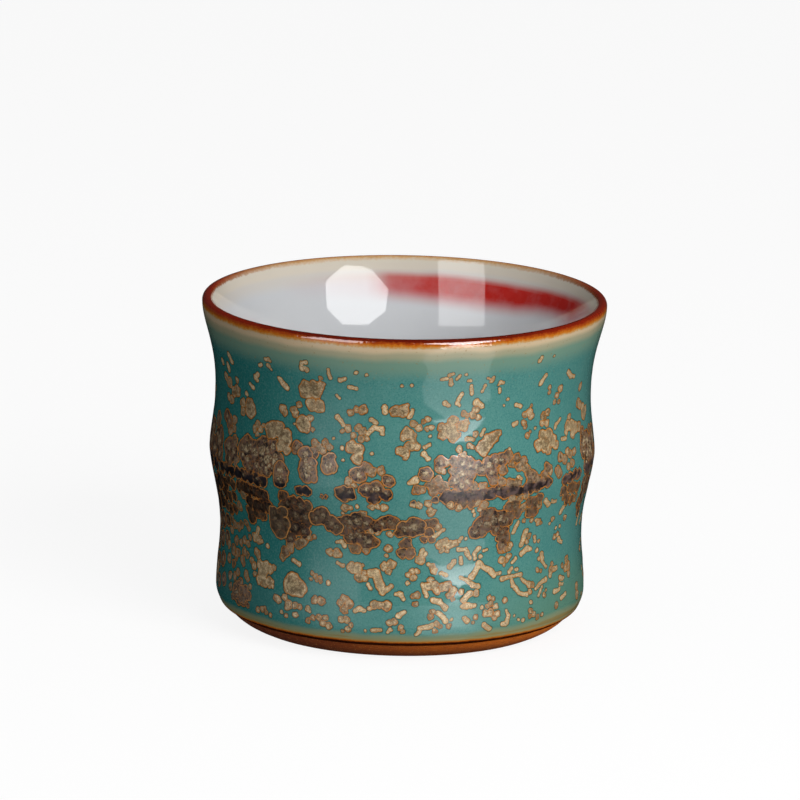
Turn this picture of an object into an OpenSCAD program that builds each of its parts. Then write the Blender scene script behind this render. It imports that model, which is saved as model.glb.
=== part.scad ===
// Handleless ceramic tea cup with a bamboo-style wall: flared mouth, one raised node ridge, turned foot.
// The clay and every coat of glaze are separate solids that meet face to face.
// The origin is the centre of the foot's resting face, with +Z up the axis. Sizes are in millimetres.

/* [Outer wall] */
// Mouth diameter across the widest part of the lip
rim_d = 75; // [71:0.5:81]
// Height from the table to the top of the lip
cup_h = 61.4; // [56:0.2:70]
// Shape of the flare: higher values keep the wall upright for longer
flare_power = 2.3; // [1.5:0.1:3]
// Diameter of the waist above the node
upper_waist_d = 69.7; // [66:0.1:71]
// Height of the waist above the node
upper_waist_z = 43.8; // [40:0.2:50]
// Diameter over the node ridge
node_d = 71.6; // [70.2:0.1:76]
// Height of the node ridge
node_z = 33; // [27:0.5:38]
// Shape of the node: 1 gives a crease, 2 a soft swell
node_softness = 1.5; // [1.2:0.1:2]
// Diameter of the waist below the node
lower_waist_d = 67.3; // [64:0.1:69]
// Height of the waist below the node
lower_waist_z = 18; // [12:0.5:23]
// Diameter of the hip, above the rounded heel
hip_d = 68.6; // [66:0.1:72]
// Height of the hip
hip_z = 6.8; // [5.8:0.1:7.6]
// Radius of the rounded heel
heel_r = 4.9; // [4.4:0.1:7]

/* [Inside] */
// Thickness of the lip, coats included
lip_t = 1.9; // [1.4:0.1:2.8]
// Lean of the inner wall where it runs into the lip, in degrees from upright
lip_lean = 30; // [24:1:36]
// Thickness of the wall at the waists, coats included
wall_t = 4.4; // [3.4:0.1:5.4]
// Thickness of the wall at the node ridge, coats included
node_wall_t = 5; // [4.2:0.1:6]
// Thickness of the floor, liner included
floor_t = 4; // [3:0.1:6]
// Radius between the floor and the inner wall
floor_fillet_r = 11; // [5:0.5:14]

/* [Foot] */
// Height of the foot ring
foot_h = 3; // [2.4:0.1:3.6]
// Outer diameter of the foot where it rests on the table
foot_d = 56.2; // [52:0.2:60]
// Inner diameter of the foot ring
foot_bore_d = 48; // [40:0.5:50]
// How far the top edge of the foot sits inside the clay above the groove
foot_step = 0.2; // [0:0.05:0.8]
// How far the foot's flank bows out between its edges
foot_bow = 0.35; // [0:0.05:0.6]
// Bevel of the foot's inner resting edge
foot_bevel = 0.5; // [0.2:0.1:1]
// Height of the joint groove over the foot ring
groove_h = 0.45; // [0.3:0.05:0.6]
// Depth of the joint groove, behind the foot's top edge
groove_depth = 1; // [0.5:0.1:2]

/* [Glaze] */
// Thickness of every coat of glaze
coat_t = 0.35; // [0.2:0.05:0.5]
// Depth of the amber band, down from the top of the lip
rim_band_h = 1.7; // [1.5:0.1:4]
// Bare clay between the groove and the lower edge of the glaze, along the heel
bare_clay = 0.2; // [0.1:0.05:0.5]
// Height of the amber roll along the lower edge of the glaze
foot_line_h = 1.5; // [0.8:0.1:1.8]
// How far that roll stands proud of the outer coat
foot_line_bow = 0.12; // [0:0.02:0.3]
// Upper edge of the red band, down from the top of the lip
band_drop = 3.2; // [2.2:0.1:8]
// Height of the red band
band_h = 4.4; // [2:0.1:8]
// Direction in which the red band starts, in degrees from +X
band_from = 8; // [-60:1:30]
// Sweep of the red band, in degrees
band_sweep = 118; // [60:1:200]

/* [Resolution] */
// Straight steps along the wall between the hip and the rim line
wall_steps = 64; // [24:1:96]
// Straight steps along each rounded stretch
arc_steps = 14; // [6:1:24]

/* [Hidden] */
$fn = 128;
rim_r = rim_d / 2;
upper_waist_r = upper_waist_d / 2;
node_r = node_d / 2;
lower_waist_r = lower_waist_d / 2;
hip_r = hip_d / 2;
foot_r = foot_d / 2;
foot_bore_r = foot_bore_d / 2;
lip_r = lip_t / 2;
lip_mid_r = rim_r - lip_r;
lip_mid_z = cup_h - lip_r;
rim_line_z = cup_h - rim_band_h;
floor_z = foot_h + floor_t;
fillet_top_z = floor_z + floor_fillet_r;
throat_r = upper_waist_r - wall_t;
node_inner_r = node_r - node_wall_t;
soft_swell = 2;

// The inner wall runs into the lip's roll at this point, and its power gives it the lean of the roll there
lip_in_r = lip_mid_r - lip_r * cos(lip_lean);
lip_in_z = lip_mid_z + lip_r * sin(lip_lean);
inner_power = max(1.05, tan(lip_lean) * (lip_in_z - upper_waist_z) / (lip_in_r - throat_r));

// The heel is an arc about this point, and its coat and its clay share the centre
heel_mid_r = hip_r - heel_r;
clay_heel_r = heel_r - coat_t;
ledge_z = foot_h + groove_h;
ledge_angle = asin((hip_z - ledge_z) / clay_heel_r);
ledge_r = heel_mid_r + clay_heel_r * cos(ledge_angle);
glaze_end_angle = ledge_angle - bare_clay / clay_heel_r * 180 / PI;
foot_line_angle = glaze_end_angle - foot_line_h / heel_r * 180 / PI;
foot_top_r = ledge_r - foot_step;
neck_r = foot_top_r - groove_depth;

base_r = outer_r(fillet_top_z) - wall_t;

function steps(from, to, count) = [for (i = [0:count]) from + (to - from) * i / count];
function backwards(points) = [for (i = [len(points) - 1:-1:0]) points[i]];
function swell(t, softness) = pow(sin(90 * t), softness);
function ease(from, to, t) = from + (to - from) * swell(t, soft_swell);
function below_node(waist_r, t) = node_r - (node_r - waist_r) * swell(t, node_softness);

// Radius of the flare outside, which leaves the upper waist upright and is upright again at the lip
function flare_r(z) =
    let (t = (z - upper_waist_z) / (lip_mid_z - upper_waist_z))
    upper_waist_r + (rim_r - upper_waist_r) * sin(90 * pow(t, flare_power));

// How far up the flare inside a height lies: 0 at the upper waist, 1 where the wall runs into the lip
function inner_share(z) = max(0, (z - upper_waist_z) / (lip_in_z - upper_waist_z));
function inner_lean(z) = atan(tan(lip_lean) * pow(inner_share(z), inner_power - 1));

// Radius of the glazed outside at a height between the hip and the lip
function outer_r(z) =
    z > upper_waist_z ? flare_r(z) :
    z > node_z ? below_node(upper_waist_r, (z - node_z) / (upper_waist_z - node_z)) :
    z > lower_waist_z ? below_node(lower_waist_r, (node_z - z) / (node_z - lower_waist_z)) :
    ease(hip_r, lower_waist_r, (z - hip_z) / (lower_waist_z - hip_z));

// Radius of the glazed inside at a height between the floor's fillet and the lip
function inner_r(z) =
    z > upper_waist_z ? throat_r + (lip_in_r - throat_r) * pow(inner_share(z), inner_power) :
    z > node_z ? ease(node_inner_r, throat_r, (z - node_z) / (upper_waist_z - node_z)) :
    ease(base_r, node_inner_r, (z - fillet_top_z) / (node_z - fillet_top_z));

// Lines of the profile, from low to high, on the glazed face or set back into the wall
function outer_line(from, to, count, inset) = [for (z = steps(from, to, count)) [outer_r(z) - inset, z]];
function inner_line(from, to, count, inset) =
    [for (z = steps(from, to, count))
        [inner_r(z) + inset * cos(inner_lean(z)), z - inset * sin(inner_lean(z))]];
function wall_line(inset) = outer_line(hip_z, rim_line_z, wall_steps, inset);
function rim_line(inset) = outer_line(rim_line_z, lip_mid_z, arc_steps, inset);
function liner_line(inset) = inner_line(fillet_top_z, rim_line_z, wall_steps, inset);
function liner_top_line(inset) = inner_line(rim_line_z, lip_in_z, arc_steps, inset);
function arc(mid_r, mid_z, radius, from, to) =
    [for (a = steps(from, to, arc_steps)) [mid_r + radius * cos(a), mid_z + radius * sin(a)]];
function lip_arc(inset) = arc(lip_mid_r, lip_mid_z, lip_r - inset, 0, 180 - lip_lean);
function heel_arc(inset, from, to) = arc(heel_mid_r, hip_z, heel_r - inset, -from, -to);
function floor_arc(inset) =
    arc(base_r - floor_fillet_r, fillet_top_z, floor_fillet_r + inset, -90, 0);

// Amber roll on the heel: an arc that bows out and comes back to the coat's face
function foot_line_face() =
    [for (i = [0:arc_steps])
        let (t = i / arc_steps)
        let (a = glaze_end_angle + (foot_line_angle - glaze_end_angle) * t)
        let (radius = heel_r + foot_line_bow * sin(180 * t))
        [heel_mid_r + radius * cos(a), hip_z - radius * sin(a)]];

function foot_flank() =
    let (run = [foot_top_r - foot_r, foot_h])
    let (out = [run[1], -run[0]] / norm(run))
    [for (t = steps(0, 1, arc_steps)) [foot_r, 0] + run * t + out * foot_bow * sin(180 * t)];

module turn(points) {
    rotate_extrude() polygon(points);
}

module clay_body() {
    color([0.42, 0.22, 0.1])
    turn(concat(
        [[0, foot_h], [neck_r, foot_h], [neck_r, ledge_z]],
        heel_arc(coat_t, ledge_angle, glaze_end_angle),
        heel_arc(coat_t, glaze_end_angle, foot_line_angle),
        heel_arc(coat_t, foot_line_angle, 0),
        wall_line(coat_t),
        rim_line(coat_t),
        lip_arc(coat_t),
        backwards(liner_top_line(coat_t)),
        backwards(liner_line(coat_t)),
        backwards(floor_arc(coat_t)),
        [[0, floor_z - coat_t]]));
}

module foot_ring() {
    color([0.42, 0.2, 0.08])
    turn(concat(
        [[foot_bore_r + foot_bevel, 0]],
        foot_flank(),
        [[foot_bore_r, foot_h], [foot_bore_r, foot_bevel]]));
}

module outer_glaze() {
    color([0.29, 0.53, 0.5])
    turn(concat(
        heel_arc(0, foot_line_angle, 0),
        wall_line(0),
        backwards(wall_line(coat_t)),
        backwards(heel_arc(coat_t, foot_line_angle, 0))));
}

module rim_glaze() {
    color([0.6, 0.29, 0.1])
    turn(concat(
        rim_line(0),
        lip_arc(0),
        backwards(liner_top_line(0)),
        liner_top_line(coat_t),
        backwards(lip_arc(coat_t)),
        backwards(rim_line(coat_t))));
}

module foot_line_glaze() {
    color([0.62, 0.42, 0.2])
    turn(concat(
        foot_line_face(),
        backwards(heel_arc(coat_t, glaze_end_angle, foot_line_angle))));
}

// The liner's coat before the red band is laid into it
module liner_coat() {
    turn(concat(
        [[0, floor_z - coat_t]],
        floor_arc(coat_t),
        liner_line(coat_t),
        backwards(liner_line(0)),
        backwards(floor_arc(0)),
        [[0, floor_z]]));
}

module band_sector() {
    rotate([0, 0, band_from])
    rotate_extrude(angle = band_sweep)
    translate([throat_r - wall_t, cup_h - band_drop - band_h])
    square([rim_r - throat_r + wall_t, band_h]);
}

module liner_glaze() {
    color([0.86, 0.86, 0.87])
    difference() {
        liner_coat();
        band_sector();
    }
}

module red_band() {
    color([0.62, 0.15, 0.13])
    intersection() {
        liner_coat();
        band_sector();
    }
}

module base_glaze() {
    color([0.78, 0.77, 0.74])
    translate([0, 0, foot_h - coat_t])
    cylinder(r = foot_bore_r, h = coat_t);
}

clay_body();
foot_ring();
outer_glaze();
rim_glaze();
foot_line_glaze();
liner_glaze();
red_band();
base_glaze();
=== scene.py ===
# %% [markdown]
# # A glazed tea cup, dressed for its portrait
# The cup is one fired piece of stoneware: clay, and coats of glaze laid on it one after another. The packed
# model brings the clay and the coats as plain solids in metres. This lesson makes the coats finer, grows
# the tan crystals in the turquoise glaze, and lights the cup as the photograph does.

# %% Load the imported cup
import math
import random

import bmesh
import bpy
import numpy as np
from mathutils import Matrix, Vector


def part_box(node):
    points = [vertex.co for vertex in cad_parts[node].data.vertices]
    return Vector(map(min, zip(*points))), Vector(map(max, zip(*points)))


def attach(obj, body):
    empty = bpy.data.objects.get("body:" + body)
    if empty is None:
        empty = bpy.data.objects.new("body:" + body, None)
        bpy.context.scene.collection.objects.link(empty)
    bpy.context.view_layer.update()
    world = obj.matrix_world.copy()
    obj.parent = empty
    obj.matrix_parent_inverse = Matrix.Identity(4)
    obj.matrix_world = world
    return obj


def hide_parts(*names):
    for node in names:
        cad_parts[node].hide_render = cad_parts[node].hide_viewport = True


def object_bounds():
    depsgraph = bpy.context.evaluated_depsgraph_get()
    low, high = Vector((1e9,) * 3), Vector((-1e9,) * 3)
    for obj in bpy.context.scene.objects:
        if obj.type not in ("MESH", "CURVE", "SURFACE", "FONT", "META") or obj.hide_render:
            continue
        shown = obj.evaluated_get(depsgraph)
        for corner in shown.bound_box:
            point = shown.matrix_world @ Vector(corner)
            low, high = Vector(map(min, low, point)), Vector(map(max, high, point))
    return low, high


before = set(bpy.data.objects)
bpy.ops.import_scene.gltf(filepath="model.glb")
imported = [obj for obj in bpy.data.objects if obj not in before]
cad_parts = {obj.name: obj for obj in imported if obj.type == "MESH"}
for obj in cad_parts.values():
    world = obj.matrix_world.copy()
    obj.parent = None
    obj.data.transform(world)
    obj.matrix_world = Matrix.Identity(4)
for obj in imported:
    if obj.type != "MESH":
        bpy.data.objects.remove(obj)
cad_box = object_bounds()
MM = 0.001
print("nodes:", sorted(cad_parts))

# %% [markdown]
# ## Camera
# The photograph was taken with a long lens from a little above the cup, and the camera was turned by one
# degree. A camera could be aimed with a constraint, but its three axes are written here as a matrix,
# because that keeps the small turn exact.

# %% Place the camera
CAMERA_TILT = math.radians(13.49)
CAMERA_TURN = math.radians(0.9986)
CAMERA_DISTANCE = 1.5
TARGET_HEIGHT = 0.030
AIM = Vector((-0.00055, 0.0, 0.041686))
LENS_MM = 362.85
SENSOR_WIDTH_MM = 36.0

camera_place = Vector((0.0, -CAMERA_DISTANCE * math.cos(CAMERA_TILT),
                       TARGET_HEIGHT + CAMERA_DISTANCE * math.sin(CAMERA_TILT)))
look = (AIM - camera_place).normalized()
sideways = look.cross(Vector((0, 0, 1))).normalized()
upright = sideways.cross(look)
camera_right = sideways * math.cos(CAMERA_TURN) + upright * math.sin(CAMERA_TURN)
camera_up = upright * math.cos(CAMERA_TURN) - sideways * math.sin(CAMERA_TURN)

camera_data = bpy.data.cameras.new("portrait_camera")
camera_data.lens = LENS_MM
camera_data.sensor_width = SENSOR_WIDTH_MM
camera = bpy.data.objects.new("portrait_camera", camera_data)
camera.matrix_world = Matrix.Translation(camera_place) @ Matrix(
    (camera_right, camera_up, -look)).transposed().to_4x4()
bpy.context.scene.collection.objects.link(camera)
bpy.context.scene.camera = camera
bpy.context.scene.view_settings.view_transform = "Standard"
print("camera at", [round(c, 3) for c in camera_place])

# %% [markdown]
# ## Short names for shader nodes
# Each finish is mixed from a few nodes: noise, ranges and colour mixes on Object coordinates, which are
# metres in the cup's own frame. A small helper keeps the recipes readable. Colours are written as the eye
# reads them, from 0 to 255, and turned into the linear values that the shader wants.

# %% Helpers for finishes
MIX_SHARE, MIX_FIRST, MIX_SECOND, MIX_COLOUR = 0, 6, 7, 2  # places of the Mix node's colour sockets


def tint(red, green, blue):
    """A colour as seen on a screen, made linear for a shader socket."""
    def linear(level):
        level = level / 255
        return level / 12.92 if level <= 0.04045 else ((level + 0.055) / 1.055) ** 2.4
    return (linear(red), linear(green), linear(blue), 1.0)


class Finish:
    """One material and the nodes that it is mixed from."""

    def __init__(self, name):
        self.material = bpy.data.materials.new(name)
        self.material.use_nodes = True
        self.tree = self.material.node_tree
        self.shader = self.tree.nodes["Principled BSDF"]
        self.place = self.node("ShaderNodeTexCoord").outputs["Object"]
        axes = self.node("ShaderNodeSeparateXYZ")
        self.feed(axes.inputs[0], self.place)
        self.side = self.math("MULTIPLY", axes.outputs["X"], 1 / MM)
        self.back = self.math("MULTIPLY", axes.outputs["Y"], 1 / MM)
        self.height = self.math("MULTIPLY", axes.outputs["Z"], 1 / MM)

    def node(self, kind, **settings):
        made = self.tree.nodes.new(kind)
        for key, value in settings.items():
            setattr(made, key, value)
        return made

    def feed(self, socket, value):
        if isinstance(value, bpy.types.NodeSocket):
            self.tree.links.new(value, socket)
        else:
            socket.default_value = value

    def math(self, operation, first, second=0.0, third=0.0):
        made = self.node("ShaderNodeMath", operation=operation)
        for socket, value in zip(made.inputs, (first, second, third)):
            self.feed(socket, value)
        return made.outputs[0]

    def noise(self, grains_per_mm, detail=2.0):
        """Even noise from 0 to 1, the same on every piece at the same place."""
        made = self.node("ShaderNodeTexNoise")
        made.inputs["Scale"].default_value = grains_per_mm / MM
        made.inputs["Detail"].default_value = detail
        self.feed(made.inputs["Vector"], self.place)
        return made.outputs["Fac"]

    def jitter(self, grains_per_mm, amount, detail=2.0):
        """Noise about zero, as wide as amount to either side."""
        centred = self.math("SUBTRACT", self.noise(grains_per_mm, detail), 0.5)
        return self.math("MULTIPLY", centred, 2 * amount)

    def rise(self, value, low, high, most=1.0):
        """Goes softly from 0 to most while the value goes from low to high."""
        made = self.node("ShaderNodeMapRange", interpolation_type="SMOOTHSTEP")
        self.feed(made.inputs["Value"], value)
        made.inputs["From Min"].default_value = low
        made.inputs["From Max"].default_value = high
        made.inputs["To Max"].default_value = most
        return made.outputs[0]

    def band(self, value, low, high, soft):
        """1 between low and high, with soft edges."""
        return self.math("MULTIPLY", self.rise(value, low - soft, low + soft),
                         self.rise(value, high + soft, high - soft))

    def mix(self, share, first, second, blend="MIX"):
        made = self.node("ShaderNodeMix", data_type="RGBA", blend_type=blend)
        self.feed(made.inputs[MIX_SHARE], share)
        self.feed(made.inputs[MIX_FIRST], first)
        self.feed(made.inputs[MIX_SECOND], second)
        return made.outputs[MIX_COLOUR]

    def along(self, value, stops):
        """A colour for each value, from a list of (value, colour) in rising order."""
        colour = stops[0][1]
        for (low, _), (high, later) in zip(stops, stops[1:]):
            colour = self.mix(self.rise(value, low, high), colour, later)
        return colour

    def reading(self, name):
        """A number that the mesh keeps for each of its points."""
        return self.node("ShaderNodeAttribute", attribute_name=name).outputs["Fac"]

    def bump(self, height, reach_mm):
        made = self.node("ShaderNodeBump")
        made.inputs["Strength"].default_value = 1.0
        made.inputs["Distance"].default_value = reach_mm * MM
        self.feed(made.inputs["Height"], height)
        self.feed(self.shader.inputs["Normal"], made.outputs[0])

    def set(self, **sockets):
        """Fills sockets of the shader, with an underscore for each space in a name."""
        for name, value in sockets.items():
            self.feed(self.shader.inputs[name.replace("_", " ")], value)
        return self.material


print("finish helpers ready")

# %% [markdown]
# ## Studio
# The reflections in the glaze tell how the cup was lit: a large octagonal softbox to the right of the
# camera, an upright panel to the left, and a dark glossy table that mirrors both into the wall. The camera
# sees a pale round cove with a soft shadow, and reflections see dark sheets in its place. A cove could be a
# bent plane, but a line that is spun round the cup has no seam from any side.

# %% Pale cove and dark sheets
def stage_object(name, bm, material):
    mesh = bpy.data.meshes.new(name)
    bm.to_mesh(mesh)
    bm.free()
    mesh.materials.append(material)
    made = bpy.data.objects.new(name, mesh)
    bpy.context.scene.collection.objects.link(made)
    return made


pale = Finish("pale_cove")
pale.set(Base_Color=(0.16, 0.16, 0.16, 1.0), Roughness=0.9, Emission_Color=(1.0, 1.0, 1.0, 1.0),
         Emission_Strength=0.88)
pale.shader.inputs["Specular IOR Level"].default_value = 0.0

COVE_RADIUS = 4.0
COVE_CORNER = 1.0
COVE_HEIGHT = 3.0
COVE_DROP = 0.0001
CORNER_STEPS, COVE_STEPS = 12, 64
bm = bmesh.new()
cove_line = [(0.0, -COVE_DROP), (COVE_RADIUS - COVE_CORNER, -COVE_DROP)]
for step in range(1, CORNER_STEPS + 1):
    turn = math.radians(90 * step / CORNER_STEPS)
    cove_line.append((COVE_RADIUS - COVE_CORNER + COVE_CORNER * math.sin(turn),
                      COVE_CORNER - COVE_CORNER * math.cos(turn)))
cove_line.append((COVE_RADIUS, COVE_HEIGHT))
corners = [bm.verts.new((r, 0, z)) for r, z in cove_line]
sides = [bm.edges.new(pair) for pair in zip(corners, corners[1:])]
bmesh.ops.spin(bm, geom=corners + sides, cent=(0, 0, 0), axis=(0, 0, 1), angle=math.tau, steps=COVE_STEPS,
               use_merge=True)
bmesh.ops.remove_doubles(bm, verts=bm.verts, dist=1e-6)
bmesh.ops.recalc_face_normals(bm, faces=bm.faces)
bmesh.ops.reverse_faces(bm, faces=bm.faces)
cove = stage_object("pale_cove", bm, pale.material)
cove.visible_diffuse = cove.visible_glossy = cove.visible_shadow = False

SHEET_SIZE = 0.75
SHEET_DROP = 0.0006


def glossy_sheet(name, ior, roughness, side):
    """Half of the table top, to the right (1) or the left (-1), seen only in reflections."""
    sheet = Finish(name)
    sheet.set(Base_Color=(0.0, 0.0, 0.0, 1.0), Roughness=roughness, IOR=ior)
    bm = bmesh.new()
    place = Matrix.Translation((SHEET_SIZE * side, 0, -SHEET_DROP)) @ Matrix.Diagonal((1, 2, 1, 1))
    bmesh.ops.create_grid(bm, x_segments=1, y_segments=1, size=SHEET_SIZE, matrix=place)
    made = stage_object(name, bm, sheet.material)
    made.visible_camera = made.visible_diffuse = made.visible_shadow = False
    return made


table_right = glossy_sheet("glossy_sheet_right", ior=1.95, roughness=0.04, side=1)
table_left = glossy_sheet("dull_sheet_left", ior=1.5, roughness=0.35, side=-1)
print("cove radius", COVE_RADIUS, "m, sheets", table_left.name, table_right.name)

# %% [markdown]
# ## Softboxes and room light
# Area lamps would light the cup as well, but a glossy glaze shows the outline of every light, so each
# softbox is a glowing panel of the right outline. A mirrored octagon under the table stands for the light
# that the sheet throws up under the lip and on the foot. A low card under the softbox brightens the
# highlight on the lower wall. The card and the upright panel are seen only in reflections, because the left
# side of the cup gets little soft light, and the room is darker in reflections than it is for soft light.

# %% Softboxes and room light
OCTAGON_R = 0.344
OCTAGON_AZIMUTH = math.radians(34.8)
OCTAGON_DISTANCE, OCTAGON_HEIGHT = 0.75, 0.477
PANEL_SIZE, CARD_SIZE, CARD_FOOT_SHARE = (0.61, 1.10), (0.46, 0.14), 0.15
ROOM_LIGHT, ROOM_IN_REFLECTIONS = 0.29, 0.025


def softbox(name, azimuth, distance, middle_height, outline, strength):
    """An upright glowing panel that faces the cup and is hidden from the camera."""
    glow = bpy.data.materials.new(name)
    glow.use_nodes = True
    glow.node_tree.nodes.clear()
    lamp = glow.node_tree.nodes.new("ShaderNodeEmission")
    lamp.inputs["Strength"].default_value = strength
    end = glow.node_tree.nodes.new("ShaderNodeOutputMaterial")
    glow.node_tree.links.new(lamp.outputs[0], end.inputs[0])
    away = Vector((math.sin(azimuth), -math.cos(azimuth), 0.0))
    bm = bmesh.new()
    outline(bm)
    facing = away.to_track_quat("Z", "Y").to_matrix().to_4x4()
    place = Matrix.Translation(away * distance + Vector((0, 0, middle_height)))
    bmesh.ops.transform(bm, matrix=place @ facing, verts=bm.verts)
    made = stage_object(name, bm, glow)
    made.visible_camera = False
    return made


def narrow_below(bm, height, share):
    bmesh.ops.scale(bm, vec=(share, 1, 1), verts=[corner for corner in bm.verts if corner.co.y < height])


def octagon(bm):
    """Eight sides, a little flat, and narrower below as its reflection in the mouth shows it."""
    flat = Matrix.Diagonal((1, 0.94, 1, 1)) @ Matrix.Rotation(math.radians(22.5), 4, "Z")
    bmesh.ops.create_circle(bm, cap_ends=True, segments=8, radius=OCTAGON_R, matrix=flat)
    narrow_below(bm, 0.0, 0.93)
    narrow_below(bm, -0.2, 0.85)


def panel(bm, width, height):
    stretch = Matrix.Diagonal((width, height, 1, 1))
    bmesh.ops.create_grid(bm, x_segments=1, y_segments=1, size=0.5, matrix=stretch)


def tall_panel(bm):
    panel(bm, *PANEL_SIZE)


def low_card(bm):
    panel(bm, *CARD_SIZE)
    narrow_below(bm, 0.0, CARD_FOOT_SHARE)


key_light = softbox("octagon_softbox", OCTAGON_AZIMUTH, OCTAGON_DISTANCE, OCTAGON_HEIGHT,
                    outline=octagon, strength=7.4)
table_glow = softbox("octagon_in_table", OCTAGON_AZIMUTH, OCTAGON_DISTANCE, -OCTAGON_HEIGHT,
                     outline=octagon, strength=2.4)
table_glow.visible_glossy = False
side_panel = softbox("tall_panel", azimuth=math.radians(-41), distance=1.0, middle_height=0.63,
                     outline=tall_panel, strength=3.8)
front_card = softbox("low_card", azimuth=math.radians(34.5), distance=0.76, middle_height=0.123,
                     outline=low_card, strength=16.0)
side_panel.visible_diffuse = front_card.visible_diffuse = False

room = bpy.data.worlds.new("dim_room")
room.use_nodes = True
room.node_tree.nodes["Background"].inputs["Color"].default_value = (1.0, 1.0, 1.0, 1.0)
ray = room.node_tree.nodes.new("ShaderNodeLightPath")
dimmer = room.node_tree.nodes.new("ShaderNodeMapRange")
dimmer.inputs["To Min"].default_value = ROOM_LIGHT
dimmer.inputs["To Max"].default_value = ROOM_IN_REFLECTIONS
room.node_tree.links.new(ray.outputs["Is Glossy Ray"], dimmer.inputs["Value"])
room.node_tree.links.new(dimmer.outputs[0], room.node_tree.nodes["Background"].inputs["Strength"])
bpy.context.scene.world = room
print("lights:", key_light.name, table_glow.name, side_panel.name, front_card.name)

# %% [markdown]
# ## The cup's profile
# A thrown cup is one line turned about an axis. The formulas and sizes repeat those of the part's own
# source, in millimetres, so every coat can be turned as finely as it needs and still lie exactly where its
# solid lies.

# %% Sizes and lines of the wall
CUP_H, RIM_R, LIP_T, RIM_BAND_H = 61.4, 37.5, 1.9, 1.7
UPPER_WAIST_R, UPPER_WAIST_Z, FLARE_POWER = 34.85, 43.8, 2.3
NODE_R, NODE_Z, NODE_SOFTNESS, NODE_WALL_T = 35.8, 33.0, 1.5, 5.0
LOWER_WAIST_R, LOWER_WAIST_Z, WALL_T = 33.65, 18.0, 4.4
HIP_R, HIP_Z, HEEL_R = 34.3, 6.8, 4.9
FOOT_H, FLOOR_T, FLOOR_FILLET_R, COAT_T = 3.0, 4.0, 11.0, 0.35
LIP_R = LIP_T / 2
LIP_MID_R, LIP_MID_Z = RIM_R - LIP_R, CUP_H - LIP_R
RIM_LINE_Z = CUP_H - RIM_BAND_H
LIP_LEAN = math.radians(30)
LIP_IN_R = LIP_MID_R - LIP_R * math.cos(LIP_LEAN)
LIP_IN_Z = LIP_MID_Z + LIP_R * math.sin(LIP_LEAN)
THROAT_R = UPPER_WAIST_R - WALL_T
INNER_POWER = math.tan(LIP_LEAN) * (LIP_IN_Z - UPPER_WAIST_Z) / (LIP_IN_R - THROAT_R)
FLOOR_Z = FOOT_H + FLOOR_T
FILLET_TOP_Z = FLOOR_Z + FLOOR_FILLET_R


def swell(t, softness):
    return math.sin(math.pi / 2 * min(max(t, 0.0), 1.0)) ** softness


def ease(start, end, t):
    return start + (end - start) * swell(t, 2)


def flare_r(z):
    t = (z - UPPER_WAIST_Z) / (LIP_MID_Z - UPPER_WAIST_Z)
    return UPPER_WAIST_R + (RIM_R - UPPER_WAIST_R) * math.sin(math.pi / 2 * t ** FLARE_POWER)


def inner_share(z):
    return max(0.0, (z - UPPER_WAIST_Z) / (LIP_IN_Z - UPPER_WAIST_Z))


def inner_lean(z):
    return math.atan(math.tan(LIP_LEAN) * inner_share(z) ** (INNER_POWER - 1))


def outer_r(z):
    if z > UPPER_WAIST_Z:
        return flare_r(z)
    if z > NODE_Z:
        t = (z - NODE_Z) / (UPPER_WAIST_Z - NODE_Z)
        return NODE_R - (NODE_R - UPPER_WAIST_R) * swell(t, NODE_SOFTNESS)
    if z > LOWER_WAIST_Z:
        t = (NODE_Z - z) / (NODE_Z - LOWER_WAIST_Z)
        return NODE_R - (NODE_R - LOWER_WAIST_R) * swell(t, NODE_SOFTNESS)
    return ease(HIP_R, LOWER_WAIST_R, (z - HIP_Z) / (LOWER_WAIST_Z - HIP_Z))


BASE_R = outer_r(FILLET_TOP_Z) - WALL_T


def inner_r(z):
    node_inner_r = NODE_R - NODE_WALL_T
    if z > UPPER_WAIST_Z:
        return THROAT_R + (LIP_IN_R - THROAT_R) * inner_share(z) ** INNER_POWER
    if z > NODE_Z:
        return ease(node_inner_r, THROAT_R, (z - NODE_Z) / (UPPER_WAIST_Z - NODE_Z))
    return ease(BASE_R, node_inner_r, (z - FILLET_TOP_Z) / (NODE_Z - FILLET_TOP_Z))


def outer_line(start, end, steps, inset=0.0):
    """Points up the outside at even heights, on the glazed face or set back from it."""
    return [(outer_r(z) - inset, z) for z in np.linspace(start, end, steps + 1)]


def inner_line(start, end, steps, inset=0.0):
    """Points up the inside, set back square to the wall."""
    return [(inner_r(z) + inset * math.cos(inner_lean(z)), z - inset * math.sin(inner_lean(z)))
            for z in np.linspace(start, end, steps + 1)]


def arc_line(mid_r, mid_z, radius, start, end, steps):
    """Points along an arc, with its angles in degrees from the horizontal."""
    return [(mid_r + radius * math.cos(a), mid_z + radius * math.sin(a))
            for a in np.radians(np.linspace(start, end, steps + 1))]


print("radius at lip, node and waist:", round(outer_r(LIP_MID_Z), 2), NODE_R, LOWER_WAIST_R)

# %% [markdown]
# ## Turning a coat
# A potter's wheel is the spin operator. The closed line of a coat goes once round the axis, its first and
# last columns are merged, and points that meet on the axis are merged too. Normals are worked out after
# that.

# %% Spin a line into a piece
MERGE_REACH = 0.002 * MM
SHARP_EDGE = math.radians(50)


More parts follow.
